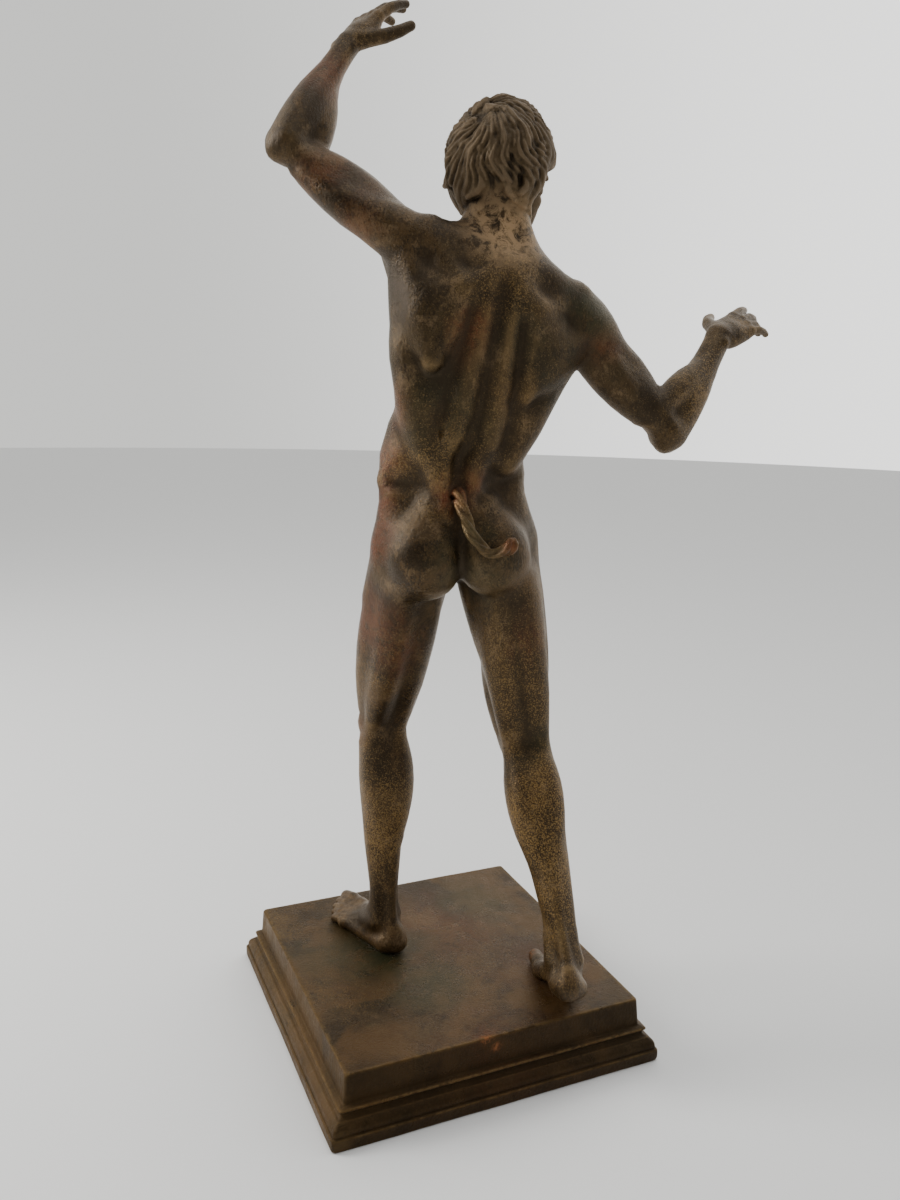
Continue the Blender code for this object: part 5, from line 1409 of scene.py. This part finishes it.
def bronze(name, hair=False, plinth_wear_and_painted_light=False):
    """Mottled brown patina with tan stipple, rust and green patches, hollows darkened by patina and painted
    shade, and ridges lightened by wear and painted highlight.
    """
    material, shader = new_material(name)
    g = Graph(material.node_tree, "Object")
    hollow, ridge, ochre = g.layer("hollow"), g.layer("ridge"), g.layer("ochre")
    broad = g.noise(9.0, 5.0, 0.62)
    mid = g.noise(42.0, 6.0, 0.66, warp=0.5)
    other = g.noise(28.0, 5.0, 0.60, place=g.shifted(3.1), warp=0.3)
    small = g.noise(190.0, 4.0, 0.65)
    brush = g.noise(1.0, 5.0, 0.72, place=g.stretched((620.0, 620.0, 240.0)), warp=0.6)
    # large mottling
    colour = g.blend(g.span(broad, 0.38, 0.62), OLIVE, BROWN)
    light = g.plus(mid, brush, 0.80)
    colour = g.over(colour, g.span(light, 0.91, 1.03), 0.80, LIGHT_BROWN)
    dark = g.plus(other, brush, 0.80)
    colour = g.over(colour, g.span(dark, 0.87, 0.97), 0.94, DARK)
    colour = g.over(colour, g.span(small, 0.50, 0.34), 0.55, DARK)
    # patches of rust and of dark green
    rust = g.times(g.layer("rust"), g.span(small, 0.34, 0.56, 0.35, 1.0))
    colour = g.over(colour, rust, 0.78, RUST)
    green = g.times(g.layer("green"), g.span(mid, 0.34, 0.50, 0.35, 1.0))
    colour = g.over(colour, green, 0.85, VERDIGRIS)
    # a fine stipple, tan all over and ochre where the ochre layer is strong
    grain = g.noise(900.0, 4.0, 0.75)
    coarse = g.noise(330.0, 4.0, 0.72, place=g.shifted(1.7))
    cover = g.math("ADD", g.scaled(ochre, 0.095), g.scaled(g.span(other, 0.62, 0.40), 0.020))
    dots = g.spread(g.math("ADD", grain, cover), 0.600, 0.670)
    blots = g.spread(g.math("ADD", coarse, cover), 0.620, 0.740)
    colour = g.over(colour, blots, 0.30, TAN)
    colour = g.over(colour, dots, 0.42, TAN)
    colour = g.over(colour, g.times(dots, ochre), 0.55, OCHRE)
    specks = g.spread(g.noise(900.0, 4.0, 0.75, place=g.shifted(5.3)), 0.46, 0.38)
    colour = g.over(colour, specks, 0.72, DARK)
    # old wax and painted shade darken the hollows; handling wear and painted highlight brighten the ridges
    hollow_wax_and_shade = g.times(hollow, g.span(small, 0.25, 0.60, 0.55, 1.0))
    ridge_wear_and_highlight = g.times(ridge, g.span(small if plinth_wear_and_painted_light else mid, 0.36, 0.58, 0.15, 1.0))
    if hair:
        locks = g.layer("hair")
        skin_share = g.math("SUBTRACT", 1.0, g.scaled(locks, 0.9), clamp=True)
        # the locks: lighter on their ridges with wear and painted highlight, near black in their hollows
        # with patina and painted shade
        strand = g.blend(g.spread(g.plus(ridge, small, 0.7), 0.25, 0.75), OLIVE, HAIR_LIGHT)
        strand = g.blend(g.spread(hollow, 0.15, 0.60), strand, HAIR_DARK)
        colour = g.over(colour, locks, 0.88, strand)
        hollow_wax_and_shade = g.times(hollow_wax_and_shade, skin_share)
        ridge_wear_and_highlight = g.times(ridge_wear_and_highlight, skin_share)
    colour = g.over(colour, hollow_wax_and_shade, 0.85, DARK)
    # the plinth's moulding edges get more of this wear and painted highlight
    colour = g.over(colour, ridge_wear_and_highlight, 0.75 if plinth_wear_and_painted_light else 0.45, RIDGE_WEAR_AND_HIGHLIGHT)
    dusty = 0.0
    if hair:
        dusty = g.times(g.layer("dust"), g.span(g.noise(120.0, 6.0, 0.75, warp=0.6), 0.38, 0.56))
        colour = g.over(colour, dusty, 0.90, DUST)
    # the plinth: darker all over, with stains, green, worn runs down its +X side and painted shade over its
    # +Y side
    if plinth_wear_and_painted_light:
        colour = g.blend(0.50, colour, DARK)
        stain = g.noise(15.0, 6.0, 0.64, place=g.shifted(8.2), warp=0.5)
        colour = g.over(colour, g.span(stain, 0.47, 0.60), 0.60, STAIN)
        colour = g.over(colour, green, 0.60, VERDIGRIS)
        runs = g.noise(1.0, 5.0, 0.70, place=g.stretched((30.0, 420.0, 38.0)))
        worn = g.times(g.layer("worn"), g.span(runs, 0.38, 0.60, 0.10, 1.0))
        worn = g.times(worn, g.span(mid, 0.34, 0.54, 0.40, 1.0))
        # painted shade over the plinth's +Y side, kept off its moulding edges
        colour = g.over(colour, g.layer("painted_shade_near_side"), 0.62, DARK)
        colour = g.over(colour, worn, 0.66, WORN_SIDE)
    bare = g.times(g.layer("bright"), g.span(g.noise(420.0, 5.0, 0.7), 0.42, 0.56))
    colour = g.over(colour, bare, 0.75, COPPER)
    g.feed(shader["Base Color"], colour)
    metal = g.plus(0.24, ridge_wear_and_highlight, 0.30)
    metal = g.math("ADD", metal, g.scaled(bare, 0.6), clamp=True)
    g.feed(shader["Metallic"], metal)
    shader["Specular Tint"].default_value = WARM_SHEEN
    if plinth_wear_and_painted_light:
        shader["Specular Tint"].default_value = BROWN_SHEEN
        shader["Specular IOR Level"].default_value = 0.32
    rough = g.math("ADD", 0.30, g.span(mid, 0.34, 0.66, 0.0, 0.14))
    rough = g.plus(rough, blots, 0.10)
    rough = g.plus(rough, hollow_wax_and_shade, 0.12)
    if hair:
        rough = g.plus(rough, locks, 0.16)
        rough = g.plus(rough, dusty, 0.30)
    if plinth_wear_and_painted_light:
        rough = g.plus(rough, worn, 0.18)
    rough = g.math("SUBTRACT", rough, g.scaled(g.layer("polish"), 0.17), clamp=True)
    g.feed(shader["Roughness"], rough)
    # cast skin: soft waves, pits, and a fine grain that breaks up the highlights
    pits = g.span(g.cells(300.0), 0.08, 0.26)
    place_of_pits = g.span(g.noise(55.0, 3.0), 0.54, 0.66)
    pitted = g.math("SUBTRACT", 1.0, g.times(g.math("SUBTRACT", 1.0, pits), place_of_pits))
    normal = g.bump(g.noise(95.0, 5.0, 0.62), 0.0010, 0.20)
    normal = g.bump(pitted, 0.0005, 0.35, normal)
    normal = g.bump(coarse, 0.0006, 0.45, normal)
    normal = g.bump(brush, 0.0007, 0.60, normal)
    normal = g.bump(grain, 0.0004, 0.60, normal)
    if hair:
        crust = g.times(g.layer("dust"), g.noise(240.0, 6.0, 0.75))
        normal = g.bump(crust, 0.0012, 0.55, normal)
    g.feed(shader["Normal"], normal)
    return material


figure_bronze = bronze("figure_bronze_patina", hair=True)
plinth_bronze = bronze("plinth_bronze_patina", plinth_wear_and_painted_light=True)

skin = fine_figure()
hand_finish(skin.data)
paint_figure(skin.data)
skin.data.shade_smooth()
skin.data.materials.clear()
skin.data.materials.append(figure_bronze)
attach(skin, "root")
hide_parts("faun_figure")

base = fine_plinth()
wear_plinth(base.data)
paint_plinth(base.data)
base.data.shade_smooth()
base.data.materials.append(plinth_bronze)
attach(base, "root")
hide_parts("plinth")

# Floor
bpy.ops.mesh.primitive_circle_add(vertices=96, radius=7.0, fill_type="NGON", location=(0, 0, 0))
floor = bpy.context.object
floor.name = "floor"
pale_floor, floor_shader = new_material("pale_floor")
floor_shader["Base Color"].default_value = (0.84, 0.84, 0.83, 1)
floor_shader["Roughness"].default_value = 0.9
floor.data.materials.append(pale_floor)

# Camera, at the photograph's viewing angle, and the height on the statue that the lamps aim at
CAMERA_PLACE = (0.3089, 0.7007, 0.5168)
CAMERA_RIGHT = (-0.91536, 0.40184, 0.02530)
CAMERA_DOWN = (0.06213, 0.20306, -0.97719)
CAMERA_AHEAD = (-0.39781, -0.89291, -0.21084)
PHOTO_HEIGHT = 1200
FOCAL_PIXELS = 1004.7
SENSOR_HEIGHT = 36.0
AIM_HEIGHT = 0.42



def placed(x_axis, y_axis, z_axis, place):
    """Matrix of an object with these axes at a place."""
    rows = [(x_axis[n], y_axis[n], z_axis[n], place[n]) for n in range(3)]
    return Matrix(rows + [(0, 0, 0, 1)])


camera = bpy.data.cameras.new("camera")
camera.sensor_fit = "VERTICAL"
camera.sensor_height = SENSOR_HEIGHT
camera.lens = SENSOR_HEIGHT * FOCAL_PIXELS / PHOTO_HEIGHT
camera.clip_start = 0.02
viewer = linked("camera", camera)
viewer.matrix_world = placed(CAMERA_RIGHT, vec(*CAMERA_DOWN) * -1, vec(*CAMERA_AHEAD) * -1, CAMERA_PLACE)
bpy.context.scene.camera = viewer


def lamp(name, right, above, ahead, size, power, colour=(1, 1, 1)):
    """An area lamp placed from the statue's middle along the camera's axes, aimed at the statue."""
    middle = vec(0, 0, AIM_HEIGHT)
    place = middle + vec(*CAMERA_RIGHT) * right + vec(0, 0, above) + vec(*CAMERA_AHEAD) * ahead
    light = bpy.data.lights.new(name, "AREA")
    light.shape = "RECTANGLE"
    light.size, light.size_y = size
    light.energy = power
    light.color = colour
    back = unit(place - middle)
    side = unit(np.cross((0, 0, 1), back))
    linked(name, light).matrix_world = placed(side, np.cross(back, side), back, place)


lamp("window", -1.6, 0.9, 0.10, (0.7, 1.1), 30.0, (1.0, 0.985, 0.96))
lamp("ceiling", 0.3, 1.9, -0.2, (1.2, 1.2), 9.0)
lamp("fill", 1.2, 0.6, -1.4, (1.4, 1.4), 2.0, (0.97, 0.98, 1.0))

# A wall beyond the statue, brighter to the right, and a dimmer room on the near side
WALL_LEFT = (0.90, 0.90, 0.87, 1)
WALL_RIGHT = (1.90, 1.90, 1.87, 1)
ROOM = (0.32, 0.32, 0.323, 1)
FAR_WAY = (-0.407, -0.913, 0.0)

world = bpy.data.worlds.new("studio")
world.use_nodes = True
studio = Graph(world.node_tree, "Generated")


def share_along(direction, low, high):
    """A smooth rise from 0 to 1 over the ways of looking that turn towards a direction."""
    dot = studio.add("ShaderNodeVectorMath", operation="DOT_PRODUCT")
    studio.fill(dot, {0: studio.place, 1: direction})
    return studio.span(dot.outputs["Value"], low, high)


wall = studio.blend(share_along(CAMERA_RIGHT, -0.30, 0.45), WALL_LEFT, WALL_RIGHT)
around = studio.blend(share_along(FAR_WAY, -0.45, 0.60), ROOM, wall)
studio.feed(world.node_tree.nodes["Background"].inputs["Color"], around)
bpy.context.scene.world = world
